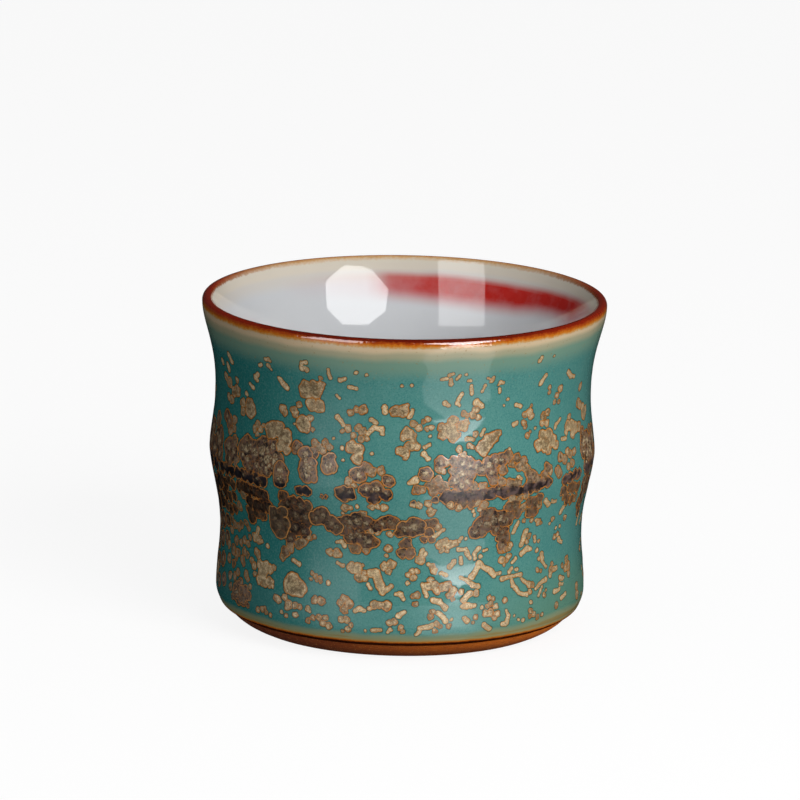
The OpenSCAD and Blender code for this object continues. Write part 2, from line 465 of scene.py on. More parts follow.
def turned(name, line, columns, closed=True):
    bm = bmesh.new()
    corners = [bm.verts.new((r * MM, 0, z * MM)) for r, z in line]
    pairs = list(zip(corners, corners[1:]))
    if closed:
        pairs.append((corners[-1], corners[0]))
    sides = [bm.edges.new(pair) for pair in pairs]
    bmesh.ops.spin(bm, geom=corners + sides, cent=(0, 0, 0), axis=(0, 0, 1), angle=math.tau, steps=columns,
                   use_merge=True)
    bmesh.ops.remove_doubles(bm, verts=bm.verts, dist=MERGE_REACH)
    bmesh.ops.recalc_face_normals(bm, faces=bm.faces)
    for face in bm.faces:
        face.smooth = True
    mesh = bpy.data.meshes.new(name)
    bm.to_mesh(mesh)
    bm.free()
    mesh.set_sharp_from_angle(angle=SHARP_EDGE)
    piece = bpy.data.objects.new(name, mesh)
    bpy.context.scene.collection.objects.link(piece)
    return piece


def points_of(piece):
    """The piece's points in millimetres, as an array."""
    flat = np.zeros(len(piece.data.vertices) * 3)
    piece.data.vertices.foreach_get("co", flat)
    return flat.reshape(-1, 3) / MM


def move_points(piece, points):
    piece.data.vertices.foreach_set("co", (points * MM).ravel())
    piece.data.update()


def write_reading(piece, name, values):
    """Keeps one number for each point, for the finish to read."""
    reading = piece.data.attributes.new(name, "FLOAT", "POINT")
    reading.data.foreach_set("value", np.asarray(values, dtype=np.float32))


def report_piece(piece, *nodes):
    """Prints the triangles, and how closely the piece fills the box of the solids that it replaces."""
    points = points_of(piece)
    solid = np.array([[list(c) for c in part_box(node)] for node in nodes]) / MM
    reach = np.abs([points.min(0) - solid[:, 0].min(0), points.max(0) - solid[:, 1].max(0)])
    triangles = sum(len(p.vertices) - 2 for p in piece.data.polygons)
    print(piece.name, triangles, "triangles, box within", round(float(reach.max()), 3), "mm of its solid")


def dress(piece, material, slot, *nodes):
    piece.data.materials.append(material)
    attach(piece, "root")
    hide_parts(*nodes)
    report_piece(piece, *nodes)


print("wheel ready")

# %% [markdown]
# ## Outer coat
# The turquoise coat runs from the amber line at the foot to the rim line. It is turned with faces about 0.4
# mm wide, because every face keeps the crystals that it lies in, and because the crystals stand out a
# little.

# %% Turn the outer coat
GROOVE_H, BARE_CLAY, FOOT_LINE_H = 0.45, 0.2, 1.5
LEDGE_Z = FOOT_H + GROOVE_H
CLAY_HEEL_R = HEEL_R - COAT_T
HEEL_MID_R = HIP_R - HEEL_R
LEDGE_ANGLE = math.degrees(math.asin((HIP_Z - LEDGE_Z) / CLAY_HEEL_R))
GLAZE_END_ANGLE = LEDGE_ANGLE - math.degrees(BARE_CLAY / CLAY_HEEL_R)
FOOT_LINE_ANGLE = GLAZE_END_ANGLE - math.degrees(FOOT_LINE_H / HEEL_R)

outer_face = (arc_line(HEEL_MID_R, HIP_Z, HEEL_R, -FOOT_LINE_ANGLE, 0, steps=7)
              + outer_line(HIP_Z, RIM_LINE_Z, steps=136)[1:])
outer_back = (arc_line(HEEL_MID_R, HIP_Z, CLAY_HEEL_R, -FOOT_LINE_ANGLE, 0, steps=3)
              + outer_line(HIP_Z, RIM_LINE_Z, steps=12, inset=COAT_T)[1:])
outer_coat = turned("outer_glaze_coat", outer_face + outer_back[::-1], columns=600)
outer_points = points_of(outer_coat)
print("outer coat points:", len(outer_points))

# %% [markdown]
# ## Where the crystals grew
# In the kiln, tan crystals grow out of the turquoise glaze like frost on a window. They crowd along the
# raised node, thin out towards the lip, and run to twigs near the foot. Noise alone gives no such drifts,
# so the front is planted one by one after the photograph. Each crystal is written as (degrees right of the
# front, height, radius), with sizes in millimetres. First come those that crowd together and share seams.

# %% Crowded crystals of the front
CROWDS = [
    # Dark stripe under the ridge
    (-68, 31.6, 1.1), (-64.5, 31.8, 1.1), (-61, 31.7, 1.1), (-57.5, 31.9, 1.1), (-54, 31.9, 1.2),
    (-51, 31.9, 1.2), (-48, 31.8, 1.2), (-45.3, 31.8, 1.1), (13.5, 31.7, 1.3), (16, 31.7, 1.4),
    (18.5, 31.8, 1.2), (21.5, 31.8, 1.4), (24.5, 31.8, 1.3), (27, 31.8, 1.2), (29.8, 32.3, 1.2),
    (32.3, 31.7, 1.2), (35, 31.9, 1.1), (37, 31.6, 1), (39.5, 31.8, 1), (42, 31.9, 1.1), (44.3, 31.9, 1),
    (57.5, 31.6, 1), (60, 31.8, 1.1), (63, 32, 1), (66, 31.7, 1), (14.8, 30.3, 0.9), (18.4, 30.3, 0.9),
    (21, 30.1, 0.9), (23.2, 30.4, 0.7), (34.8, 30.4, 0.8), (37.4, 30.2, 0.8), (40, 30.5, 0.7),
    (33.6, 33.3, 0.9), (36.2, 33.1, 0.8),
    # Drifts below the ridge
    (-57.5, 29.3, 1.1), (-55, 29.5, 1.2), (-52.5, 29.3, 1.2), (-50, 29.3, 1.2), (-47.5, 29.2, 1.2),
    (-45.7, 29, 1.2), (-56, 27.9, 0.8), (-52.5, 27, 1.3), (-50, 26.6, 1.3), (-47, 26.8, 1.3),
    (-44.5, 27, 1.3), (-53.5, 25, 1.1), (-53, 23.8, 1.1), (-47.5, 25, 1), (-50.5, 24.9, 1),
    (-37.5, 29.8, 1.1), (-36, 28.6, 1.3), (-38, 27.8, 0.9), (-34, 29, 1.2), (-31.5, 28.6, 1.4),
    (-33.5, 26.5, 1.8), (-34.2, 24, 1.6), (-31.2, 23.6, 1.4), (-28.9, 28.6, 1), (-30, 26.3, 1.7),
    (-33.5, 21, 0.95), (-31.4, 21.6, 0.8), (-29.4, 22.4, 0.6), (-27.6, 22.7, 0.4), (7.6, 26.6, 0.9),
    (9.8, 26.8, 0.9), (11.2, 26, 0.6), (-36.5, 21.8, 1.2), (-36.8, 20.4, 0.9), (-38.5, 18.9, 1),
    (-36.9, 19.6, 0.8), (-39.8, 17.8, 0.6), (-17.8, 25.6, 1.6), (-15.5, 26.3, 1.5), (-10.6, 26.4, 1.3),
    (-13, 26.7, 1.6), (-15, 23.7, 1.5), (-12.9, 24, 1.5), (-14, 21.5, 1), (-10.7, 21.3, 0.8),
    (-8.2, 22.8, 1), (-10.2, 23, 1.6), (-11.5, 28, 0.8), (-7.5, 26, 1.2), (-5.3, 26.6, 1.3), (-3, 27, 1.2),
    (-1.6, 26.6, 1), (-7, 24.7, 0.5), (-8.9, 25.2, 0.7), (25.2, 29.6, 0.8), (24.2, 28.9, 0.5),
    (25.7, 28.2, 0.9), (27.8, 28, 1), (24.7, 26.2, 1.3), (23.4, 24.6, 1.3), (27, 25.8, 1.6),
    (31.5, 26.8, 1.5), (29.4, 26.4, 1.7), (33.5, 26.3, 1.4), (25.8, 24.4, 1), (30.6, 24.6, 1.1),
    (33, 24, 1.2), (32.5, 23, 1), (34.2, 22.7, 1), (33.3, 21.3, 1.1), (34.6, 20.7, 0.8), (32.9, 20.4, 0.6),
    (34, 29, 1), (36.2, 28.8, 1.1), (37.6, 27.4, 1), (35.2, 27, 1), (39.6, 28.3, 0.8), (41.6, 29, 0.9),
    (43.8, 28.8, 1.1), (45.8, 29.6, 0.9), (42.5, 27, 1), (44.5, 27, 1), (46, 28, 0.8), (57.5, 29.6, 1),
    (59, 28.4, 0.9), (61.5, 29.8, 1), (64, 29.2, 1), (61, 27.3, 0.9), (64, 27, 0.9), (67, 29, 1),
    (67, 27, 0.8),
    # Far left, below the ridge
    (-70, 29.5, 1.1), (-67, 28.5, 1.2), (-64.5, 29.6, 1), (-61.5, 29, 1), (-69, 26.5, 1.2),
    (-65.5, 26.2, 1.1), (-62, 26.8, 0.9), (-70, 24, 1.1), (-66.5, 23.6, 1), (-63, 24.2, 0.9),
    (-59.5, 25.2, 0.8), (-73, 28.3, 1.6), (-78, 27, 1.7), (-84, 28.5, 1.8), (-74, 24.6, 1.6),
    (-80, 23.5, 1.7), (-86, 25, 1.8), (-70.5, 21, 1.2), (-76, 20.5, 1.5), (-82, 19.5, 1.6), (-88, 21, 1.5),
    (-72, 17.5, 1.2), (-78, 16.5, 1.4), (-84, 15.5, 1.5), (-75, 13, 1.3), (-81, 12, 1.4), (-87, 12, 1.4),
    (-72, 9.6, 1.1), (-78, 8.6, 1.2), (-84, 8.8, 1.3), (-60.5, 8.6, 1.9), (-57.6, 8.2, 1.6),
    (-59.4, 10.6, 0.9),
    # Both edges, above the ridge
    (-72, 36.5, 2), (-76, 34.3, 1.8), (-70, 33.8, 1.4), (-81, 37, 2), (-85, 34.5, 2), (-75, 39.6, 1.3),
    (-80, 31.6, 1.6), (-87, 31.4, 1.6), (-74, 31.4, 1.4), (70, 35.5, 1.3), (74, 37, 1.6), (78, 34.5, 1.6),
    (72, 33, 1.3), (82, 37, 1.8), (76, 31.5, 1.5), (84, 33, 1.7), (70.5, 38.8, 1.1), (73, 29, 1.3),
    (79, 28, 1.5), (85, 29.5, 1.5),
    # Drifts above the ridge
    (-63.5, 36, 1.7), (-60.5, 35.6, 1.6), (-62.5, 34, 1.4), (-58.6, 34.3, 1), (-60.5, 37.5, 1),
    (-67.5, 41.3, 1.2), (-65.5, 40.6, 1.2), (-62, 41.2, 0.8), (-61.8, 39.6, 0.7), (-64, 39, 0.8),
    (-48, 34.5, 1.3), (-51, 33.8, 1.2), (-44, 34.3, 1.4), (-46.5, 33.8, 0.9), (-52.5, 35.3, 1.6),
    (-49.5, 36.8, 2), (-42, 38.6, 1.3), (-44, 36, 1.9), (-53.5, 37, 2.2), (-46.3, 37.5, 2.2),
    (-40.5, 36, 1.9), (-33, 39.3, 1.1), (-27.2, 38.9, 1.1), (-27, 40.6, 0.7), (-25.7, 39.9, 0.7),
    (-23.6, 40.9, 0.6), (-22.2, 40.1, 0.6), (-24.3, 39.4, 0.7), (-15.6, 34.3, 0.7), (-14, 33.6, 0.5),
    (-10.6, 37, 1), (-8.8, 36.4, 0.8), (-6, 36.6, 0.7), (-12.8, 35.6, 1.4), (11.6, 38.2, 1.1),
    (13.2, 38.1, 0.7), (11, 37, 0.7), (12.3, 36.6, 0.5), (4.6, 33.3, 0.9), (6, 33.3, 0.7), (8.8, 34.2, 1),
    (10.6, 35, 0.8), (11.5, 33.7, 1), (9.6, 33, 0.9), (13, 34, 0.7), (15.8, 38.1, 1), (18, 38, 1.3),
    (20.5, 37.6, 1.2), (15.5, 36.6, 0.9), (16.2, 34.8, 1.3), (20.6, 35.9, 1.1), (17.8, 33.8, 1.2),
    (17.8, 36, 1.5), (19.6, 34.3, 1.2), (22.6, 37, 1.1), (24.4, 36.5, 1.1), (28.8, 37.8, 1.2),
    (26.6, 37.3, 1.3), (27.5, 35.7, 1.2), (28, 34.4, 1), (31, 37.9, 1.2), (33.4, 38.4, 1),
    (34.4, 36.8, 0.7), (31.2, 36, 0.9), (30.8, 33.8, 0.9), (21.4, 33.4, 0.9), (24.4, 33.3, 0.8),
    (36.5, 37.8, 0.9), (38.6, 37, 0.9), (37, 36.2, 0.8), (39.5, 35.8, 0.8), (40.6, 34.5, 0.9),
    (42.3, 34, 1), (41, 33, 1), (43.8, 33.2, 0.9), (48.5, 34.9, 1), (47, 33.8, 0.9), (49.6, 34.2, 0.6),
    (46.5, 32.5, 1.1), (48.7, 32.3, 1), (53.2, 34, 0.8), (54, 33.2, 0.7), (55, 36.2, 0.8), (57, 35.6, 0.8),
    (59, 36.8, 0.6), (60.4, 36.2, 0.7), (61.5, 34.4, 0.7), (63, 36.3, 0.7), (59, 34, 0.6),
]
print("planted:", len(CROWDS), "crowded crystals")

# %% [markdown]
# Flowers stand alone or lie over the crowds. Each one is a list of lobes that melted into one outline.

# %% Flowers of the front
FLOWERS = [
    # Around the ridge, each one whole
    [(-38.3, 34.6, 1.9), (-38.4, 33.1, 1.9)], [(-30, 38.4, 1.6), (-28.9, 36.2, 2.1), (-28.7, 34.9, 2.1)],
    [(-22, 36.9, 1.9), (-21.6, 38.4, 1)], [(-31.3, 31.5, 1.1), (-29.2, 31.6, 1.2)],
    [(-17.4, 31.9, 1.6), (-15.4, 32, 1.4)], [(-3.9, 34.8, 1.3)],
    [(-10.3, 33, 1.5), (-7.4, 33.2, 1.7), (-4.6, 32.2, 1.3), (-8, 31.4, 1.3)], [(7, 36.1, 1.5)],
    [(-8.7, 29.8, 0.7), (-7, 29.9, 0.6)], [(-5, 29.7, 0.8)], [(3.6, 30.6, 0.7), (5.2, 30.3, 0.7)],
    [(8, 30.6, 0.8), (10, 31.3, 0.8)], [(9, 29, 0.9)], [(14.6, 30.2, 0.8)], [(17.3, 29.6, 0.7)],
    [(-16.7, 29.2, 0.8), (-15.2, 29.3, 0.5), (-17.7, 28.1, 0.4)], [(-23.9, 30.9, 0.45), (-22.6, 31, 0.45)],
    [(-26.6, 26.5, 1.6), (-24.2, 27.2, 1.9), (-21.6, 26.1, 1.8), (-19.9, 25.2, 1.5)],
    [(-40.6, 23.9, 2.7), (-42, 26, 1.6), (-38.6, 26.6, 1.4)],
    [(1, 25.6, 1.7), (4.3, 26, 2.1), (-0.4, 24.9, 1.1)],
    [(8.6, 25, 1.1), (9.6, 23.6, 0.8), (7.2, 23.6, 0.8)],
    # Above the drifts
    [(-43.3, 41.5, 1.7), (-40.5, 42, 1.7), (-37.8, 40.6, 1.9), (-39, 39, 1.2), (-36.8, 38.6, 1.1)],
    [(-50.5, 41, 0.8), (-49.3, 42, 0.8), (-47.9, 41.2, 0.8), (-46.8, 42, 0.5), (-49.3, 40.2, 0.6)],
    [(-57.2, 45, 1), (-57, 43.4, 0.9)], [(-53.1, 44.3, 1.75), (-53.3, 45.3, 1.3)],
    [(-60.5, 46.9, 1.2), (-62.6, 46.4, 1.1)], [(-65.5, 47.8, 1.2), (-68, 48.5, 1)],
    [(-64.5, 44.7, 1), (-66.5, 45, 0.8)], [(-60.2, 49, 0.7)], [(-38.9, 46, 0.9), (-38, 45.4, 0.8)],
    [(-34.5, 46, 0.9), (-32.5, 47.3, 0.7), (-34, 45.5, 0.8)],
    [(-31.2, 43.8, 1.75), (-28.8, 45.1, 0.7), (-27.9, 43, 0.5)],
    [(-29.6, 50.4, 1.9), (-27.2, 50.6, 1.9), (-25, 51.6, 1.1), (-24.8, 53, 0.5)],
    [(-28.3, 47.8, 1.3), (-26, 47.6, 1.3)], [(-15.6, 46.9, 0.7), (-13.9, 47.7, 0.7), (-11.9, 47.7, 1)],
    [(-13.2, 44.2, 0.8), (-11.9, 43.7, 0.9), (-14.8, 42.7, 0.6), (-12.4, 42.2, 0.8), (-10.6, 42.4, 0.6)],
    [(-16.5, 44, 0.8), (-18.3, 43.4, 0.5)], [(-15.2, 40.6, 1.3), (-13.2, 40.2, 1.2), (-13.4, 38.6, 1.2)],
    [(-2.2, 47.7, 1.2), (0, 47.8, 1.2), (0.9, 48.6, 0.7)], [(3.3, 45.4, 0.7), (4.9, 44.6, 0.7)],
    [(1.5, 43.6, 1.2), (3, 43, 0.8), (0.3, 42.6, 0.6)], [(7.6, 46.2, 0.6), (6.2, 45.7, 0.5)],
    [(-0.6, 40.4, 0.9), (0.8, 40, 1.1), (2.2, 41.2, 1.1), (4, 41.1, 0.9), (3.4, 42.1, 0.6), (1, 39.2, 0.6)],
    [(8.6, 44.6, 0.6), (7.4, 44.4, 0.5)], [(11.8, 44.6, 0.9), (12, 43.2, 0.9)],
    [(14.3, 44, 1.7), (15.3, 45.8, 1.1), (15.4, 43, 1.3), (18.2, 44.6, 1.1), (19.4, 45.3, 0.7)],
    [(18.6, 47, 0.6), (19.6, 46.6, 0.5)], [(22.3, 47.6, 0.8), (21.4, 46.6, 0.8), (23.3, 46.2, 0.6)],
    [(22.4, 43, 0.6), (21.8, 42, 0.4), (20.5, 41, 0.6), (21.4, 40.7, 0.5)], [(17.4, 40.4, 0.7)],
    [(18.7, 39.4, 0.7)],
    [(25, 40.3, 1.5), (26, 41, 1.4), (27.2, 41.8, 1.4), (28.6, 42.3, 1.1), (30, 42.8, 0.8)],
    [(41.5, 45.8, 0.9), (39.8, 45.6, 0.7), (42.3, 45.1, 0.7), (42, 47, 0.4)],
    [(39.3, 44, 0.6), (40, 43.3, 0.5)], [(49.3, 45.2, 0.8), (47.7, 44.6, 0.8)],
    [(47, 43.3, 0.7), (49, 43.2, 0.8)], [(40.8, 41.6, 0.6), (41.9, 42.2, 0.35)],
    [(47.2, 41.1, 1.2), (45.5, 39.4, 1.3), (48, 39.3, 1.5)],
    [(50, 41, 1.3), (51.3, 39.6, 1.4), (52.8, 38.7, 1), (49.3, 38, 0.9)], [(55, 49, 0.8)],
    [(53.4, 47.9, 0.6), (52.7, 46.8, 0.5), (54.7, 46.6, 0.5)], [(49.5, 49.8, 0.5), (49.6, 49, 0.5)],
    [(61.3, 43, 0.6), (60.4, 41.4, 1.2), (62.9, 41.2, 1.2), (59, 40.3, 0.6)],
    [(65, 40.5, 1.2), (63, 39.6, 0.9)], [(68, 40.3, 1)], [(67.5, 44.8, 1), (69.3, 44.2, 0.9)],
    [(68.4, 47.8, 0.8)],
    # Lower field, left
    [(-52.2, 20.2, 1), (-50.7, 20, 1), (-49, 19.7, 0.5)], [(-51.5, 17.3, 0.9), (-50.7, 16.7, 0.7)],
    [(-53.9, 15.5, 0.7), (-52.6, 14.7, 0.8)], [(-51.9, 13.2, 0.6)],
    [(-49.5, 15.3, 1.1), (-47.3, 15.3, 1.1), (-48, 14.1, 1.5), (-45, 14.9, 1), (-43.3, 15.5, 0.6)],
    [(-49.4, 12.6, 1.1), (-47, 12.3, 1.2), (-44.8, 12.5, 1.1), (-43.4, 12, 0.5)],
    [(-41.3, 10, 0.8), (-40.4, 9.7, 0.7)], [(-35.4, 13, 2.3), (-33, 12.6, 1.9)], [(-38, 10.4, 0.7)],
    [(-36.3, 9.3, 0.9), (-36.8, 8.6, 0.6)], [(-37.2, 7.1, 0.5)], [(-34, 9.3, 0.7), (-32.3, 9.2, 0.6)],
    [(-33.7, 7.5, 0.6)], [(-49.3, 6.8, 0.6)], [(-47.4, 7.2, 0.6), (-46, 7.6, 0.4)],
    [(-45.5, 6.8, 0.5), (-43.7, 6.4, 0.45)], [(-58.5, 9.3, 1.1), (-56.2, 9.6, 1.1), (-57, 8, 1.1)],
    [(-54.5, 8.8, 1), (-54.7, 7, 0.6)], [(-59, 7.5, 0.8)], [(-60, 10.5, 0.6), (-62.5, 9.5, 0.8)],
    [(-58.4, 18.8, 0.8), (-56.4, 18.4, 0.7)], [(-60.8, 18, 0.7)],
    [(-62, 20.9, 0.9), (-60, 21.5, 0.9), (-64, 21, 0.8)], [(-59.5, 15, 0.9), (-58.5, 14.4, 0.6)],
    [(-61.5, 12.3, 0.8)], [(-64, 18, 0.9), (-66, 16, 1.1), (-65, 13.5, 0.9)],
    [(-67, 11, 0.9), (-66, 9, 0.8)], [(-67.5, 19.5, 0.9)], [(-57, 22.3, 0.8), (-55.6, 21.4, 0.6)],
    [(-58.5, 16.6, 0.9), (-56.6, 16.2, 0.7)], [(-62.6, 15.9, 0.9), (-63.6, 14.8, 0.7)],
    [(-56.5, 12.6, 0.8), (-55.4, 11.8, 0.6)], [(-63.3, 11.4, 0.8)], [(-61.2, 7.6, 0.6)],
    [(-65, 21, 1), (-66.8, 21.8, 0.8)], [(-55.2, 19.8, 0.6)], [(-69, 14, 1), (-70, 16.4, 0.9)],
    [(-64, 7.4, 0.7)], [(-53.8, 10.6, 0.6)], [(-22.3, 20.2, 0.8), (-20, 20.1, 1)],
    [(-28.5, 15.7, 0.5), (-27.2, 15.2, 0.6), (-28.8, 14.6, 0.4)],
    [(-25.7, 15, 0.6), (-25.2, 14.4, 0.4), (-26.6, 14.6, 0.4)], [(-27, 10.9, 0.8), (-24.8, 10.9, 0.9)],
    [(-17.2, 11.8, 0.8), (-18.4, 10.9, 0.8), (-15.7, 10.9, 0.9), (-17, 9.8, 0.8)],
    [(-29.2, 6.9, 0.6), (-27.6, 7.6, 0.6)], [(-25.4, 7.8, 0.7), (-23.3, 7.9, 0.6), (-24, 6.8, 0.7)],
    [(-22.2, 6.4, 0.7), (-21.2, 6.4, 0.4)], [(-29.3, 9.2, 0.6), (-28.8, 8.7, 0.4)],
    [(-18, 7.9, 0.7), (-16.4, 8, 0.7)], [(-15, 7, 0.5), (-15.9, 6.2, 0.6), (-17.6, 5.8, 0.4)],
    # Lower field, middle
    [(-15, 17.7, 1.1), (-13.4, 17.6, 1.2), (-11.6, 18.3, 0.4)],
    [(-12.6, 16, 1), (-11.2, 16.8, 0.6), (-10.9, 15.9, 0.7)],
    [(-4.9, 18.3, 0.9), (-2.9, 18.7, 1), (-3.6, 17.5, 0.7)], [(-7.6, 11.1, 0.9), (-6, 11, 0.7)],
    [(-4, 11, 1.1)], [(-3.2, 24.5, 0.7)], [(-3.8, 21.7, 0.8)], [(-2.8, 7.8, 0.7), (-1.5, 8, 0.7)],
    [(0.5, 7, 0.6), (1.2, 6.2, 0.5)],
    [(1, 22.6, 0.9), (2.2, 22.4, 0.9), (0.7, 20.9, 1.2), (3, 20.9, 1.2), (2, 23.3, 0.8)], [(6.2, 19.6, 1)],
    [(10, 18.3, 0.7), (10.6, 17.5, 0.7)],
    [(3.8, 17.4, 0.6), (5.3, 17.5, 0.6), (4.2, 16.3, 0.7), (2.6, 16.8, 0.6)],
    [(12.2, 22.4, 0.9), (13.6, 22.8, 1), (13, 21.4, 0.6)],
    [(15.2, 22.3, 0.9), (16.8, 22.5, 0.8), (14.6, 21.3, 0.5)],
    [(9.6, 15.8, 0.7), (8.6, 14.6, 0.9), (10.6, 14.7, 1), (11.6, 13.7, 0.8)],
    [(13.5, 14.4, 0.9), (15, 14.6, 0.9)], [(16.6, 13.6, 0.9), (15.4, 12.9, 0.7), (16.5, 12.2, 0.5)],
    [(5.3, 13, 0.7), (5, 11.4, 0.6), (4.2, 12.8, 0.5)], [(10.3, 9.9, 0.6), (9.6, 9, 0.6)],
    [(11.5, 7.6, 0.6), (12.7, 7.2, 0.5), (11, 6.3, 0.5)], [(15.5, 7.1, 0.5)],
    # Lower field, right
    [(19.5, 13.3, 0.6)], [(24.3, 12.9, 0.7)], [(28.9, 11.8, 0.5), (30.2, 11.5, 0.5), (29.4, 10.6, 0.6)],
    [(28.2, 10.2, 0.5), (31, 10, 0.6)], [(29, 9, 0.9), (27.4, 8.9, 0.7), (31.4, 8.6, 0.7), (30.4, 8, 0.6)],
    [(24, 8.4, 0.5), (23.2, 7.4, 0.4)], [(34.4, 10.9, 0.6)], [(33.5, 18.5, 0.8), (34.5, 17.6, 0.4)],
    [(35.8, 20.5, 0.7), (36.5, 21.2, 0.6), (36, 19, 0.7), (35.4, 18.2, 0.5)],
    [(47.3, 24.6, 0.7), (48.6, 24.3, 0.4)], [(44, 22.3, 0.6), (43.2, 21.2, 0.6)],
    [(44.3, 13, 0.7), (45.8, 12.8, 0.6), (44.6, 11.6, 0.6)], [(51.2, 10.3, 0.5), (52.3, 11.2, 0.4)],
    [(55.3, 14.6, 0.8), (56, 15.6, 0.5)], [(57, 20.6, 0.6), (58.6, 21, 0.6)], [(54.4, 24.4, 0.6)],
    [(62, 23.8, 0.6)], [(65.5, 15.2, 0.9), (66.5, 13.8, 1), (64.5, 13.8, 0.8), (66.5, 12.5, 0.7)],
    [(44.7, 8, 0.6), (44.4, 7.1, 0.5)], [(46, 7.2, 0.6)], [(47.8, 6.5, 0.5), (49.8, 6.8, 0.5)],
    [(57.5, 7.6, 0.7)], [(40.6, 25.4, 0.5)], [(44, 25.2, 0.5)], [(62.3, 14.5, 0.5)],
    [(48.5, 15.3, 0.5), (50.1, 15, 0.4)],
]
print("planted:", len(FLOWERS), "flowers")

# %% [markdown]
# Twigs are thin crystals. Each one is written as a chain of points, and a row of small discs joins them.

